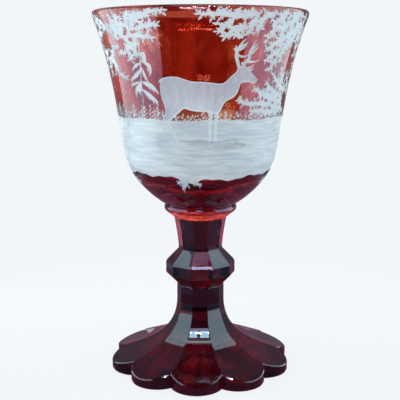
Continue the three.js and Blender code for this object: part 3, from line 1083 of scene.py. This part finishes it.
def leaf_tree():
    """Geometry nodes: flat pointed leaves along lines, alternately left and right, but straight on at the
    line's end. A leaf is a disc from 0 to 1 along X that narrows towards its tip."""
    tree, given = new_group("leaves", "GeometryNodeTree", {
        "Geometry": "Geometry", "Step": "Float", "Length": "Float", "Width": "Float",
        "Spread": "Float", "Seed": "Int", "Glass": "Material",
    }, {"Geometry": "Geometry"})
    calc = partial(maths, tree)
    curves = node(tree, "GeometryNodeMeshToCurve", {0: given["Geometry"]})
    samples = node(tree, "GeometryNodeResampleCurve", {
        "Curve": curves, "Length": given["Step"],
    }, mode="LENGTH")
    tangent = node(tree, "ShaderNodeSeparateXYZ", {0: node(tree, "GeometryNodeInputTangent")}).outputs
    along = calc("ARCTAN2", tangent["Y"], tangent["X"])
    odd = calc("MODULO", node(tree, "GeometryNodeInputIndex"), 2)
    side = calc("SUBTRACT", calc("MULTIPLY", odd, 2), 1)

    def between(low, high, seed):
        made = node(tree, "FunctionNodeRandomValue", {2: low, 3: high, "Seed": seed}, data_type="FLOAT")
        return made.outputs[1]

    spread = calc("MULTIPLY", calc("MULTIPLY", side, given["Spread"]), between(*SPREADS, given["Seed"]))
    share = node(tree, "GeometryNodeSplineParameter").outputs["Factor"]
    angle = calc("ADD", along, calc("MULTIPLY", spread, calc("LESS_THAN", share, LINE_END)))
    turn = node(tree, "ShaderNodeCombineXYZ", {"Z": angle})
    size = between(*SIZES, calc("ADD", given["Seed"], 1))
    scale = node(tree, "ShaderNodeCombineXYZ", {
        "X": calc("MULTIPLY", size, given["Length"]), "Y": calc("MULTIPLY", size, given["Width"]), "Z": 1,
    })
    disc = node(tree, "GeometryNodeMeshCircle", {
        "Vertices": LEAF_CORNERS, "Radius": 0.5,
    }, fill_type="NGON")
    spot = node(tree, "ShaderNodeSeparateXYZ", {0: node(tree, "GeometryNodeInputPosition")}).outputs
    forward = calc("ADD", spot["X"], 0.5)
    taper = calc("SUBTRACT", BUTT_WIDTH, calc("MULTIPLY", forward, TAPER))
    pointed = node(tree, "ShaderNodeCombineXYZ", {"X": forward, "Y": calc("MULTIPLY", spot["Y"], taper)})
    leaf = node(tree, "GeometryNodeSetPosition", {"Geometry": disc, "Position": pointed})
    copies = node(tree, "GeometryNodeInstanceOnPoints", {
        "Points": samples, "Instance": leaf, "Rotation": turn, "Scale": scale,
    })
    real = node(tree, "GeometryNodeRealizeInstances", {0: copies})
    skin = node(tree, "GeometryNodeSetMaterial", {"Geometry": real, "Material": given["Glass"]})
    node(tree, "NodeGroupOutput", {0: skin})
    return tree


LEAF_TREE = leaf_tree()


def leaves(lines, step, length, width, spread, seed):
    """The leaves on some lines, as flat polygons on the sheet."""
    points = [(p.x, p.y, 0) for line in lines for p in line]
    edges = []
    start = 0
    for line in lines:
        edges += [(start + i, start + i + 1) for i in range(len(line) - 1)]
        start += len(line)
    mesh = bpy.data.meshes.new("leaf_lines")
    mesh.from_pydata(points, edges, [])
    flat = grown("leaves", mesh, LEAF_TREE, step=step, length=length, width=width,
                 spread=math.radians(spread), seed=seed, glass=FROST)
    polygons = [[flat.vertices[i].co.xy.copy() for i in face.vertices] for face in flat.polygons]
    bpy.data.meshes.remove(flat)
    return polygons


leaf_cuts = []
for line in front_twigs + back_twigs + sprigs:
    leaf_cuts += ribbon(line, (0.5, 1.6, 1.3, 0.4) if len(line) > 3 else (1.1, 0.9, 0.3))
leaf_cuts += leaves(front_twigs + sprigs, 0.7, 1.8, 0.95, 48, 1)
leaf_cuts += leaves(back_twigs, 1.0, 2.2, 1.0, 42, 2)
leaf_cuts += leaves(tufts, 0.7, 1.4, 0.9, 58, 3)
print("leaves:", len(leaf_cuts), "cuts")

# %% [markdown]
# The ground is one broad cut all round, wavy at its lower edge. Its two ends meet at the back. The wheel
# leaves thin strokes along it, here by chance from a fixed seed, and two broader ones lie in the shade
# under the stag.

# %% The ground
GROUND_LOW = 91.0
GROUND_STEPS = 160
BRUSH_COUNT = 170
SHADES = (
    ((-10.0, 107.0), (-2.0, 106.2), (8.0, 106.4), (17.0, 106.9)),
    ((6.0, 104.6), (14.0, 105.3), (22.0, 105.0)),
)


def ground():
    """The ground's outline, closed at the sheet's two ends."""
    low = []
    top = []
    for step in range(GROUND_STEPS + 1):
        across = SHEET_END * (2 * step / GROUND_STEPS - 1)
        turn = across / SHEET_RADIUS
        low.append(Vector((across, GROUND_LOW + 0.7 * math.cos(3 * turn + 2.6) + 0.5 * math.sin(11 * turn)
                           + 0.25 * math.sin(29 * turn))))
        top.append(Vector((across, GROUND_TOP + 0.3 * math.sin(7 * turn) + 0.2 * math.sin(31 * turn))))
    return low + top[::-1]


def brush_strokes(seed):
    """Thin strokes of the wheel that run along the ground, a little up or down."""
    chance = random.Random(seed)
    lines = [((-17.0, 107.7), (-2.0, 108.1), (14.0, 107.8), (31.0, 108.4))]
    for _ in range(BRUSH_COUNT):
        across = chance.uniform(-SHEET_END + 8, SHEET_END - 8)
        height = chance.triangular(GROUND_LOW + 1.8, GROUND_TOP - 1.5, GROUND_LOW + 5)
        reach = chance.uniform(2.0, 6.0)
        rise = chance.uniform(-0.9, 0.9)
        places = ((across - reach, height - rise / 2), (across, height + rise / 2),
                  (across + reach, height + rise))
        lines.append(places)
    return [stroke(line, (0.08, chance.uniform(0.3, 0.55), 0.08), 2) for line in lines]


ground_cut = ground()
brush_cuts = brush_strokes(5)
shade_cuts = [stroke(line, (0.3, 1.3, 0.9, 0.3)) for line in SHADES]
print("ground:", len(ground_cut), "points and", len(brush_cuts), "brush strokes")

# %% [markdown]
# Now the sheet is triangulated with all cuts as constraints. The triangulation says which polygons each
# triangle lies in, so overlapping leaves merge by themselves. Extra points keep the triangles small
# enough to follow the bowl's curve and, in the stag and the ground, to carry a modelled depth.

# %% The sheet, triangulated round the drawing
COLUMN_COUNT = 144
SIDE_STEPS = 48
UNCUT, FROSTED, HOLLOW, BRUSHED = range(4)
SNAP = 1e-4
CLOSE = 0.07
LONGEST = 1.2
SHEET_PITCH, GROUND_PITCH, STAG_PITCH = 2.0, 1.1, 0.8


def scattered(low, high, left, right, pitch):
    """Points in staggered rows between two heights."""
    found = []
    rows = max(1, round((high - low) / pitch))
    count = round((right - left) / pitch)
    for row in range(1, rows):
        shift = 0.25 + 0.5 * (row % 2)
        height = low + (high - low) * row / rows
        for column in range(count):
            found.append(Vector((left + (column + shift) * (right - left) / count, height)))
    return found


def from_lowest(outline):
    """An outline from its lowest point on, anticlockwise there, so that its left side is its inside."""
    lowest = min(range(len(outline)), key=lambda i: (outline[i].y, outline[i].x))
    spots = outline[lowest:] + outline[:lowest]
    if (spots[0] - spots[-1]).cross(spots[1] - spots[0]) < 0:
        spots = spots[:1] + spots[:0:-1]
    return spots


def drawing():
    """All cuts laid over each other: points, triangles and kinds; a later cut covers an earlier one.
    A polygon that fills more than its own area has leaked in the triangulation and is left out."""
    points = []
    polygons = []
    kinds = []
    for kind, cuts in (
        (BRUSHED, [ground_cut]), (HOLLOW, shade_cuts), (FROSTED, brush_cuts), (FROSTED, fir_cuts),
        (FROSTED, leaf_cuts), (FROSTED, stag_cuts), (HOLLOW, stag_core), (FROSTED, muscle_cuts),
    ):
        for cut in cuts:
            if len(cuts) > 1 and max(abs(p.x) for p in cut) > SHEET_END - 0.3:
                continue
            if min(p.y for p in cut) < SHEET_LOW + 0.2 or max(p.y for p in cut) > SHEET_HIGH - 0.2:
                continue
            spots = from_lowest(cut)
            polygons.append(list(range(len(points), len(points) + len(spots))))
            points += spots
            kinds.append(kind)
    spots, _, triangles, _, _, sources = delaunay_2d_cdt(points, [], polygons, 0, SNAP)
    filled = [0.0] * len(polygons)
    for triangle, source in zip(triangles, sources):
        a, b, c = (spots[i] for i in triangle)
        for number in source:
            filled[number] += abs((b - a).cross(c - a)) / 2
    sound = []
    for polygon, size in zip(polygons, filled):
        own = sum(points[a].cross(points[b]) for a, b in zip(polygon, polygon[1:] + polygon[:1])) / 2
        sound.append(size < 2 * abs(own) + 1)
    kept = [max((number for number in source if sound[number]), default=None) for source in sources]
    return spots, triangles, [UNCUT if number is None else kinds[number] for number in kept]


def side_kinds(triangles, kinds):
    """The kinds of the triangles on each side of every edge."""
    sides = {}
    for triangle, kind in zip(triangles, kinds):
        for a, b in zip(triangle, triangle[1:] + triangle[:1]):
            sides.setdefault((min(a, b), max(a, b)), []).append(kind)
    return sides


def borders(spots, triangles, kinds):
    """Only the lines where the kind changes, with points that nearly touch joined and long lines divided,
    so that they follow the round wall."""
    lines = [edge for edge, sides in side_kinds(triangles, kinds).items()
             if len(set(sides)) > 1 or len(sides) == 1]
    work = bmesh.new()
    corners = {}
    for edge in lines:
        for i in edge:
            if i not in corners:
                corners[i] = work.verts.new((spots[i].x, spots[i].y, 0))
        work.edges.new([corners[i] for i in edge])
    bmesh.ops.remove_doubles(work, verts=work.verts, dist=CLOSE)
    work.verts.index_update()
    points = [vertex.co.xy.copy() for vertex in work.verts]
    edges = []
    for edge in work.edges:
        start, end = (vertex.index for vertex in edge.verts)
        steps = max(1, math.ceil(edge.calc_length() / LONGEST))
        chain = [start]
        for i in range(1, steps):
            chain.append(len(points))
            points.append(points[start].lerp(points[end], i / steps))
        chain.append(end)
        edges += zip(chain, chain[1:])
    work.free()
    return points, edges


def without_pinches(triangles, kinds):
    """Where two cuts touch in a single point, the triangles round it are cut as well."""
    for _ in range(8):
        count = {}
        for edge, sides in side_kinds(triangles, kinds).items():
            if len(sides) == 2 and (sides[0] == UNCUT) != (sides[1] == UNCUT):
                for i in edge:
                    count[i] = count.get(i, 0) + 1
        pinched = {i for i, number in count.items() if number > 2}
        if not pinched:
            break
        kinds = [FROSTED if kind == UNCUT and pinched.intersection(triangle) else kind
                 for triangle, kind in zip(triangles, kinds)]
    return kinds


def cut_sheet():
    """The sheet's points, triangles and each triangle's kind."""
    spots, triangles, kinds = drawing()
    corners, lines = borders(spots, triangles, kinds)
    finder = BVHTree.FromPolygons([(p.x, p.y, 0) for p in spots], triangles)
    points = []
    for height in (SHEET_LOW, SHEET_HIGH):
        points += [Vector((SHEET_END * (2 * i / COLUMN_COUNT - 1), height)) for i in range(COLUMN_COUNT + 1)]
    for across in (-SHEET_END, SHEET_END):
        points += [Vector((across, SHEET_LOW + (SHEET_HIGH - SHEET_LOW) * i / SIDE_STEPS))
                   for i in range(1, SIDE_STEPS)]
    points += scattered(SHEET_LOW, SHEET_HIGH, -SHEET_END, SHEET_END, SHEET_PITCH)
    points += scattered(GROUND_LOW + 1.5, GROUND_TOP - 1, -SHEET_END + 2, SHEET_END - 2, GROUND_PITCH)
    points += scattered(115, 137, -18, 26, STAG_PITCH)
    start = len(points)
    edges = [(a + start, b + start) for a, b in lines]
    spots, _, triangles, _, _, _ = delaunay_2d_cdt(points + corners, edges, [], 0, SNAP)
    found = []
    for triangle in triangles:
        middle = sum((spots[i] for i in triangle), Vector((0, 0))) / 3
        _, _, index, _ = finder.ray_cast(Vector((middle.x, middle.y, 1)), Vector((0, 0, -1)))
        found.append(UNCUT if index is None else kinds[index])
    return spots, triangles, without_pinches(triangles, found)


sheet_points, sheet_faces, sheet_kinds = cut_sheet()
print("sheet:", len(sheet_faces), "triangles,", sum(kind != UNCUT for kind in sheet_kinds), "engraved")

# %% [markdown]
# ## The bowl
# The sheet is extruded where it is engraved, so each cut gets a floor and steep walls, and then rolled on
# the wall. Rings of quads finish the rest: the plain ruby below the ground, the lip and the clear inside.
# A sheet of uneven triangles would shade unevenly where it is polished, so the stained faces take their
# normals from the profile itself, and the cuts and the clear inside keep the normals of their own faces.

# %% Places on the outer wall
WALL_HEIGHTS = [p.y for p in OUTER_WALL]
WALL_SLOPES = directions(OUTER_WALL)


def wall_at(height):
    """Radius of the outer wall at a height, and its outward direction as radius and height."""
    after = min(max(bisect.bisect(WALL_HEIGHTS, height), 1), len(WALL_HEIGHTS) - 1)
    low, high = OUTER_WALL[after - 1], OUTER_WALL[after]
    share = (height - low.y) / (high.y - low.y)
    slope = WALL_SLOPES[after - 1].lerp(WALL_SLOPES[after], share).normalized()
    return low.x + (high.x - low.x) * share, Vector((slope.y, -slope.x))


def rolled(across, height, depth):
    """A point of the sheet, rolled on the wall, in metres."""
    radius, outward = wall_at(height)
    turn = across / SHEET_RADIUS
    return Vector(round_axis(radius - outward.x * depth, height - outward.y * depth, turn)) * MM


print("the wall at the ground's middle has a radius of", round(wall_at(103)[0], 2))

# %% [markdown]
# A wheel's edge leaves leaves of one even depth. The stag's body is modelled: it falls away from its
# outline, quickly at first, so its middle is the deepest place, and light from the side models it as a
# relief. The ground is a little rippled, as it is ground out freehand.

# %% Depth of the cuts
LEAF_DEPTH = 0.22
STAG_DEPTH = 0.75
STAG_ROUNDING = 2.4
GROUND_DEPTH = 0.1
RIPPLE_DEPTH = 0.12
RIPPLES_ROUND = 5
RIPPLES_UP = 0.9

stag_edge = STAG_BODY + [p for leg in LEGS for p in stroke(leg, LEG_WIDTHS) if p.y < 115.5]
stag_tree = kdtree.KDTree(len(stag_edge))
for number, spot in enumerate(stag_edge):
    stag_tree.insert((spot.x, spot.y, 0), number)
stag_tree.balance()


def cut_depth(spot, hollow):
    """How deep the wheel went: rounded in the stag, rippled in the ground, even in the leaves."""
    if hollow:
        _, _, distance = stag_tree.find((spot.x, spot.y, 0))
        return LEAF_DEPTH + STAG_DEPTH * (1 - math.exp(-distance / STAG_ROUNDING))
    if GROUND_LOW < spot.y < GROUND_TOP:
        turn = spot.x / SHEET_RADIUS
        ripple = noise.noise((
            RIPPLES_ROUND * math.cos(turn), RIPPLES_ROUND * math.sin(turn), spot.y * RIPPLES_UP,
        ))
        return LEAF_DEPTH + GROUND_DEPTH + RIPPLE_DEPTH * ripple
    return LEAF_DEPTH


def engraved_sheet():
    """The sheet with its cuts pressed in, rolled on the wall."""
    work = bmesh.new()
    spots = [work.verts.new((p.x, p.y, 0)) for p in sheet_points]
    for triangle, kind in zip(sheet_faces, sheet_kinds):
        work.faces.new([spots[i] for i in triangle]).material_index = kind
    cut = [face for face in work.faces if face.material_index != UNCUT]
    before = set(work.faces)
    made = bmesh.ops.extrude_face_region(work, geom=cut)["geom"]
    floor = {item for item in made if isinstance(item, bmesh.types.BMFace)}
    for face in work.faces:
        if face not in before and face not in floor:
            face.material_index = FROSTED
    for item in made:
        if isinstance(item, bmesh.types.BMVert):
            hollow = any(face.material_index == HOLLOW for face in item.link_faces if face in floor)
            item.co.z = -cut_depth(item.co, hollow)
    bmesh.ops.delete(work, geom=cut, context="FACES")
    seam = [face for face in work.faces if all(abs(v.co.x) > SHEET_END - 0.001 for v in face.verts)]
    bmesh.ops.delete(work, geom=seam, context="FACES")
    for vertex in work.verts:
        vertex.co = rolled(vertex.co.x, vertex.co.y, -vertex.co.z)
    return work


print("cuts are", LEAF_DEPTH, "to", LEAF_DEPTH + STAG_DEPTH, "mm deep")

# %% [markdown]
# The film isn't one tone all the way up. It is darkest below the ground and in between at the ground's
# lower edge, and it is brighter on the lip, where it was wiped thin. The inside was never stained. A face's
# skin is its place in the list of materials, which starts with the sheet's kinds.

# %% The whole bowl
BOWL_SKINS = (BOWL_STAIN, FROST, SATIN, GROUND, CLEAR, JOINT, DEEP_STAIN, LIP_STAIN, MIDDLE_STAIN)
CLEAR_SKIN, JOINT_SKIN, DEEP_SKIN, LIP_SKIN, MIDDLE_SKIN = range(4, 9)
FILMS = (UNCUT, DEEP_SKIN, LIP_SKIN, MIDDLE_SKIN)
MIDDLE_TOP = GROUND_LOW + 4
SHARP_CUT = math.radians(35)
LIP_FILM = 4


def add_rings(work, profile, skin, close=None):
    """Quads between circles of a profile. Close names a circle, the height on the axis that it is joined
    to and the skin of that cap."""
    rings = []
    for spot in profile:
        circle = []
        for i in range(COLUMN_COUNT):
            place = round_axis(spot.x, spot.y, math.tau * i / COLUMN_COUNT - math.pi)
            circle.append(work.verts.new([c * MM for c in place]))
        rings.append(circle)
    pairs = [(i, (i + 1) % COLUMN_COUNT) for i in range(COLUMN_COUNT)]
    for low, high in zip(rings, rings[1:]):
        for i, after in pairs:
            work.faces.new((low[i], low[after], high[after], high[i])).material_index = skin
    if close is not None:
        number, height, cap = close
        middle = work.verts.new((0, 0, height * MM))
        for i, after in pairs:
            work.faces.new((rings[number][i], rings[number][after], middle)).material_index = cap


def make_bowl():
    """The closed bowl with its engraved wall."""
    work = engraved_sheet()
    below = [p for p in OUTER_WALL if p.y < SHEET_LOW - 0.2] + [Vector((wall_at(SHEET_LOW)[0], SHEET_LOW))]
    add_rings(work, below, DEEP_SKIN, (0, COLLAR_TOP, JOINT_SKIN))
    add_rings(work, [OUTER_WALL[-1], *LIP[:LIP_FILM]], LIP_SKIN)
    add_rings(work, [*LIP[LIP_FILM - 1:], INSIDE[0]], CLEAR_SKIN)
    for face in work.faces:
        height = face.calc_center_median().z
        if face.material_index == UNCUT and height > lip_edge.y * MM:
            face.material_index = LIP_SKIN
        elif face.material_index == UNCUT and height < MIDDLE_TOP * MM:
            face.material_index = MIDDLE_SKIN
    add_rings(work, INSIDE[:-1:2], CLEAR_SKIN, (-1, INSIDE[-1].y, CLEAR_SKIN))
    bmesh.ops.remove_doubles(work, verts=work.verts, dist=WELD)
    bmesh.ops.dissolve_degenerate(work, edges=work.edges, dist=SLIVER)
    bmesh.ops.recalc_face_normals(work, faces=work.faces)
    open_edges = sum(not edge.is_manifold for edge in work.edges)
    mesh = bpy.data.meshes.new("bowl_glass")
    work.to_mesh(mesh)
    work.free()
    for skin in BOWL_SKINS:
        mesh.materials.append(skin)
    mesh.shade_smooth()
    mesh.set_sharp_from_angle(angle=SHARP_CUT)
    normals = []
    for face in mesh.polygons:
        for i in face.vertices:
            place = mesh.vertices[i].co
            if face.material_index in FILMS and place.z <= SHEET_HIGH * MM:
                outward = wall_at(place.z / MM)[1]
                normals.append(round_axis(*outward, math.atan2(place.x, -place.y)))
            else:
                normals.append((0, 0, 0))
    mesh.normals_split_custom_set(normals)
    triangles = sum(len(face.vertices) - 2 for face in mesh.polygons)
    print("bowl:", triangles, "triangles,", open_edges, "open edges")
    return in_scene("bowl_glass", mesh)


bowl = make_bowl()

# %% [markdown]
# ## Pieces on the frame
# Each finished piece takes the place of the measured solid of the same name, and rides on the body that
# carries it. Nothing moves on a goblet, so that is the root for all five.

# %% Pieces on the frame
for piece, cad_node, slot in ((foot, "foot", "ruby_glass"), (knop, "knop", "ruby_glass"),
                              (upper_stem, "upper_stem", "ruby_glass"), (collar, "collar", "ruby_glass"),
                              (bowl, "bowl", "bowl_glass")):
    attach(piece, "root")
    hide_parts(cad_node)
print("five pieces ride on the root")

# %% [markdown]
# ## The studio
# The goblet stands on pale paper that runs up behind it without an edge. Paper as bright as that would also
# flood the glass with its light. So rays that look, from the camera, off a mirror or through glass, see
# the paper's own tone, and all other rays get a softer and cooler light. Under the goblet the paper is
# partly a real surface, so that it takes a faint shadow.

# %% Backdrop and floor
BACKDROP = (0.887, 0.921, 0.947, 1)
SKY_LIGHT = (0.76, 0.89, 1.0, 1)
SKY_LEVEL = 0.6
FLOOR_REACH = 3.0
FLOOR_SINK = 0.0003
FLOOR_FADE = (0.08, 0.3)
FLOOR_GLOW = 0.92


def empty_tree(owner):
    """The node tree of a new world or material, with nothing in it."""
    owner.use_nodes = True
    owner.node_tree.nodes.clear()
    return owner.node_tree


def looking(tree):
    """1 for rays that look and 0 for light that bounces."""
    path = node(tree, "ShaderNodeLightPath").outputs
    seen = maths(tree, "MAXIMUM", path["Is Camera Ray"], path["Is Glossy Ray"])
    return maths(tree, "MAXIMUM", seen, path["Is Transmission Ray"])


def world_light():
    """The pale backdrop for rays that look, and a softer level for the light it gives."""
    world = bpy.data.worlds.new("backdrop")
    bpy.context.scene.world = world
    tree = empty_tree(world)
    shown = node(tree, "ShaderNodeBackground", {"Color": BACKDROP})
    given = node(tree, "ShaderNodeBackground", {"Color": SKY_LIGHT, "Strength": SKY_LEVEL})
    mix = node(tree, "ShaderNodeMixShader", {0: looking(tree), 1: given, 2: shown})
    node(tree, "ShaderNodeOutputWorld", {0: mix})


def floor_material():
    """A pale floor: mostly its own tone to rays that look, and a diffuse white for light that bounces."""
    material = bpy.data.materials.new("pale floor")
    tree = empty_tree(material)
    white = node(tree, "ShaderNodeBsdfDiffuse", {"Color": (0.8, 0.82, 0.84, 1)})
    faint = node(tree, "ShaderNodeBsdfDiffuse", {"Color": (0.09, 0.09, 0.09, 1)})
    glow = node(tree, "ShaderNodeEmission", {"Color": BACKDROP, "Strength": FLOOR_GLOW})
    near = node(tree, "ShaderNodeAddShader", {0: faint, 1: glow})
    far = node(tree, "ShaderNodeEmission", {"Color": BACKDROP})
    place = node(tree, "ShaderNodeTexCoord").outputs["Object"]
    away = node(tree, "ShaderNodeVectorMath", {0: place}, operation="LENGTH").outputs["Value"]
    shown = node(tree, "ShaderNodeMixShader", {0: ramp(tree, away, *FLOOR_FADE), 1: near, 2: far})
    mix = node(tree, "ShaderNodeMixShader", {0: looking(tree), 1: white, 2: shown})
    node(tree, "ShaderNodeOutputMaterial", {0: mix})
    return material


def rectangle(low, high):
    """The four corners between two opposite ones, in the order of a face."""
    return [low, (high[0], low[1]), high, (low[0], high[1])]


def flat_shape(name, corners, material):
    """An object of separate four-cornered faces, given by their corners in order."""
    mesh = bpy.data.meshes.new(name)
    mesh.from_pydata(corners, [], [range(i, i + 4) for i in range(0, len(corners), 4)])
    mesh.materials.append(material)
    return in_scene(name, mesh)


world_light()
floor_plan = rectangle((-FLOOR_REACH, -FLOOR_REACH), (FLOOR_REACH, FLOOR_REACH))
floor = flat_shape("floor", [(*corner, -FLOOR_SINK) for corner in floor_plan], floor_material())
print("floor reaches", FLOOR_REACH, "m")

# %% [markdown]
# Glass shows its lamps rather than its surface, so each lamp is there for one thing that the photo shows.
# The two side panels are mirrored along the stem and the bowl's edges, and the two near ones are the pale
# window with its bar on the bowl. The pink lamp tones the bowl below that window, the knop's own small lamp
# is the light strip on its chamfer, and the ceiling is mirrored by what faces up. Real lamps would light
# everything at once; here the fills light the matt cuts and the floor, and the others are only mirrored.

# %% Lamps
COOL = (0.90, 0.97, 1.0)
WINDOW = (0.80, 0.91, 1.0)
WARM = (1.0, 0.93, 0.85)
PINK = (1.0, 0.65, 0.95)
PALE_PINK = (1.0, 0.8, 0.95)
MIRRORED = ("camera", "diffuse", "transmission")
LIGHTING = ("camera", "glossy", "transmission")
FROM_LEFT, FROM_RIGHT, DOWN, ASLANT = (1, 0, 0), (-1, 0, 0), (0, 0, -1), (0, 0.10, -0.13)
LAMPS = (
    ("left_panel", (-0.15, -0.041, 0.133), FROM_LEFT, (0.222, 0.206), 2.3, COOL, MIRRORED),
    ("right_panel", (0.15, -0.022, 0.1565), FROM_RIGHT, (0.216, 0.287), 2.3, COOL, MIRRORED),
    ("fill_left", (-0.15, -0.02, 0.14), FROM_LEFT, (0.23, 0.22), 7.8, COOL, LIGHTING),
    ("near_left", (-0.0215, -0.118, 0.172), ASLANT, (0.019, 0.055), 12.5, WINDOW, MIRRORED),
    ("fill_right", (0.15, -0.02, 0.14), FROM_RIGHT, (0.23, 0.22), 5.2, COOL, LIGHTING),
    ("near_right", (-0.0005, -0.118, 0.172), ASLANT, (0.019, 0.055), 12.5, WINDOW, MIRRORED),
    ("under_near", (-0.011, -0.118, 0.128), (0, 0.10, -0.10), (0.042, 0.036), 5.0, PINK, MIRRORED),
    ("knop_lamp", (0.0066, -0.09, 0.0868), (0, 0.08, -0.03), (0.015, 0.008), 9.0, PALE_PINK, MIRRORED),
    ("ceiling", (0, -0.13, 0.6), DOWN, (0.3, 0.12), 4.0, WARM, MIRRORED),
)


def hide(thing, rays):
    """Hides an object from some kinds of ray."""
    for ray in rays:
        setattr(thing, "visible_" + ray, False)


def lamp_panel(name, centre, facing, size, radiance, color, hidden_from):
    """A rectangular lamp of a given brightness, hidden from some kinds of ray."""
    lamp = bpy.data.lights.new(name, "AREA")
    lamp.shape = "RECTANGLE"
    lamp.size, lamp.size_y = size
    lamp.energy = radiance * 4 * size[0] * size[1]
    lamp.color = color
    holder = in_scene(name, lamp)
    holder.location = centre
    holder.rotation_euler = Vector(facing).to_track_quat("-Z", "Y").to_euler()
    hide(holder, hidden_from)


for lamp in LAMPS:
    lamp_panel(*lamp)
print("lamps:", [lamp[0] for lamp in LAMPS])

# %% [markdown]
# A chain of small lamps hangs in an arc high in front, as the spotlights of a showcase do. The bowl's
# inside mirrors it as the row of bright points under the rim.

# %% A row of small lamps
BEAD_COUNT = 25
BEAD_SPREAD = 29
BEAD_RADIUS = 0.46
BEAD_CENTRE = 0.04
BEAD_TOP = 0.55
BEAD_SAG = 0.08
BEAD_PLAN = rectangle((-0.0045, -0.0035), (0.0045, 0.0035))
BEAD_LEVEL = 2600
BOWL_MIDDLE = Vector((0, 0, 0.14))
UNLIT = ("camera", "diffuse", "shadow")


def glowing_shape(name, corners, color, strength=1.0, hidden_from=UNLIT):
    """Faces of one even tone that light nothing, and that mirrors, or also views through glass, show."""
    material = bpy.data.materials.new(name)
    tree = empty_tree(material)
    tone = node(tree, "ShaderNodeEmission", {"Color": (*color, 1), "Strength": strength})
    node(tree, "ShaderNodeOutputMaterial", {0: tone})
    shape = flat_shape(name, corners, material)
    hide(shape, hidden_from)


def bead(number):
    """The corners of one small lamp of the arc, which faces the bowl."""
    turn = math.radians(BEAD_SPREAD * (2 * number / (BEAD_COUNT - 1) - 1))
    centre = Vector((BEAD_RADIUS * math.sin(turn), BEAD_CENTRE - BEAD_RADIUS * math.cos(turn),
                     BEAD_TOP - BEAD_SAG * turn ** 2))
    towards = (BOWL_MIDDLE - centre).normalized()
    across = towards.cross(Vector((0, 0, 1))).normalized()
    up = across.cross(towards)
    return [centre + across * a + up * b for a, b in BEAD_PLAN]


bead_corners = [corner for number in range(BEAD_COUNT) for corner in bead(number)]
glowing_shape("bead_lamps", bead_corners, (1.0, 0.9, 0.75), BEAD_LEVEL)
print("small lamps:", BEAD_COUNT)

# %% [markdown]
# Photographers put black cards round glass, because its edges show only if they mirror something dark. The
# front card stands behind the camera, the table cards are what the foot and the knop mirror from below,
# and the side, high and over cards are what the edges and the rim mirror. All but the front one are for
# mirrors only, so they don't darken the view through the bowl.

# %% Dark cards
MIRRORS_ONLY = (*UNLIT, "transmission")
CARD_HEIGHT = -0.0002
TABLE_BLUE = (0.18, 0.28, 0.42)

corners = [(x, -0.75, z) for x, z in rectangle((-0.7, -0.1), (0.7, 1.3))]
glowing_shape("front_card", corners, (0.05, 0.05, 0.08))
for name, low, high, level in (
    ("middle", (-0.12, -0.19), (0.12, 0.5), (0.25, 0.12, 0.2)),
    ("front", (-0.6, -0.75), (0.6, -0.19), (0, 0, 0)),
    ("left", (-0.6, -0.19), (-0.12, 0.5), TABLE_BLUE),
    ("right", (0.12, -0.19), (0.6, 0.5), TABLE_BLUE),
):
    corners = [(x, y, CARD_HEIGHT) for x, y in rectangle(low, high)]
    glowing_shape(f"table_card_{name}", corners, level, hidden_from=MIRRORS_ONLY)
for side, word in ((-1, "left"), (1, "right")):
    near, far = (side * 0.15, 0.09), (side * 0.09, 0.36)
    corners = [(*near, 0), (*far, 0), (*far, 0.9), (*near, 0.9)]
    glowing_shape(f"side_card_{word}", corners, (0.22, 0.20, 0.28), hidden_from=MIRRORS_ONLY)
    corners = [(side * 0.15, y, z) for y, z in rectangle((-0.2, 0.3), (0.12, 0.9))]
    glowing_shape(f"high_card_{word}", corners, (0.35, 0.35, 0.5), hidden_from=MIRRORS_ONLY)
corners = [(-0.9, 0.12, 0.6), (0.9, 0.12, 0.6), (0.9, 1.3, 1.0), (-0.9, 1.3, 1.0)]
glowing_shape("over_card", corners, (0.17, 0.23, 0.34), hidden_from=MIRRORS_ONLY)
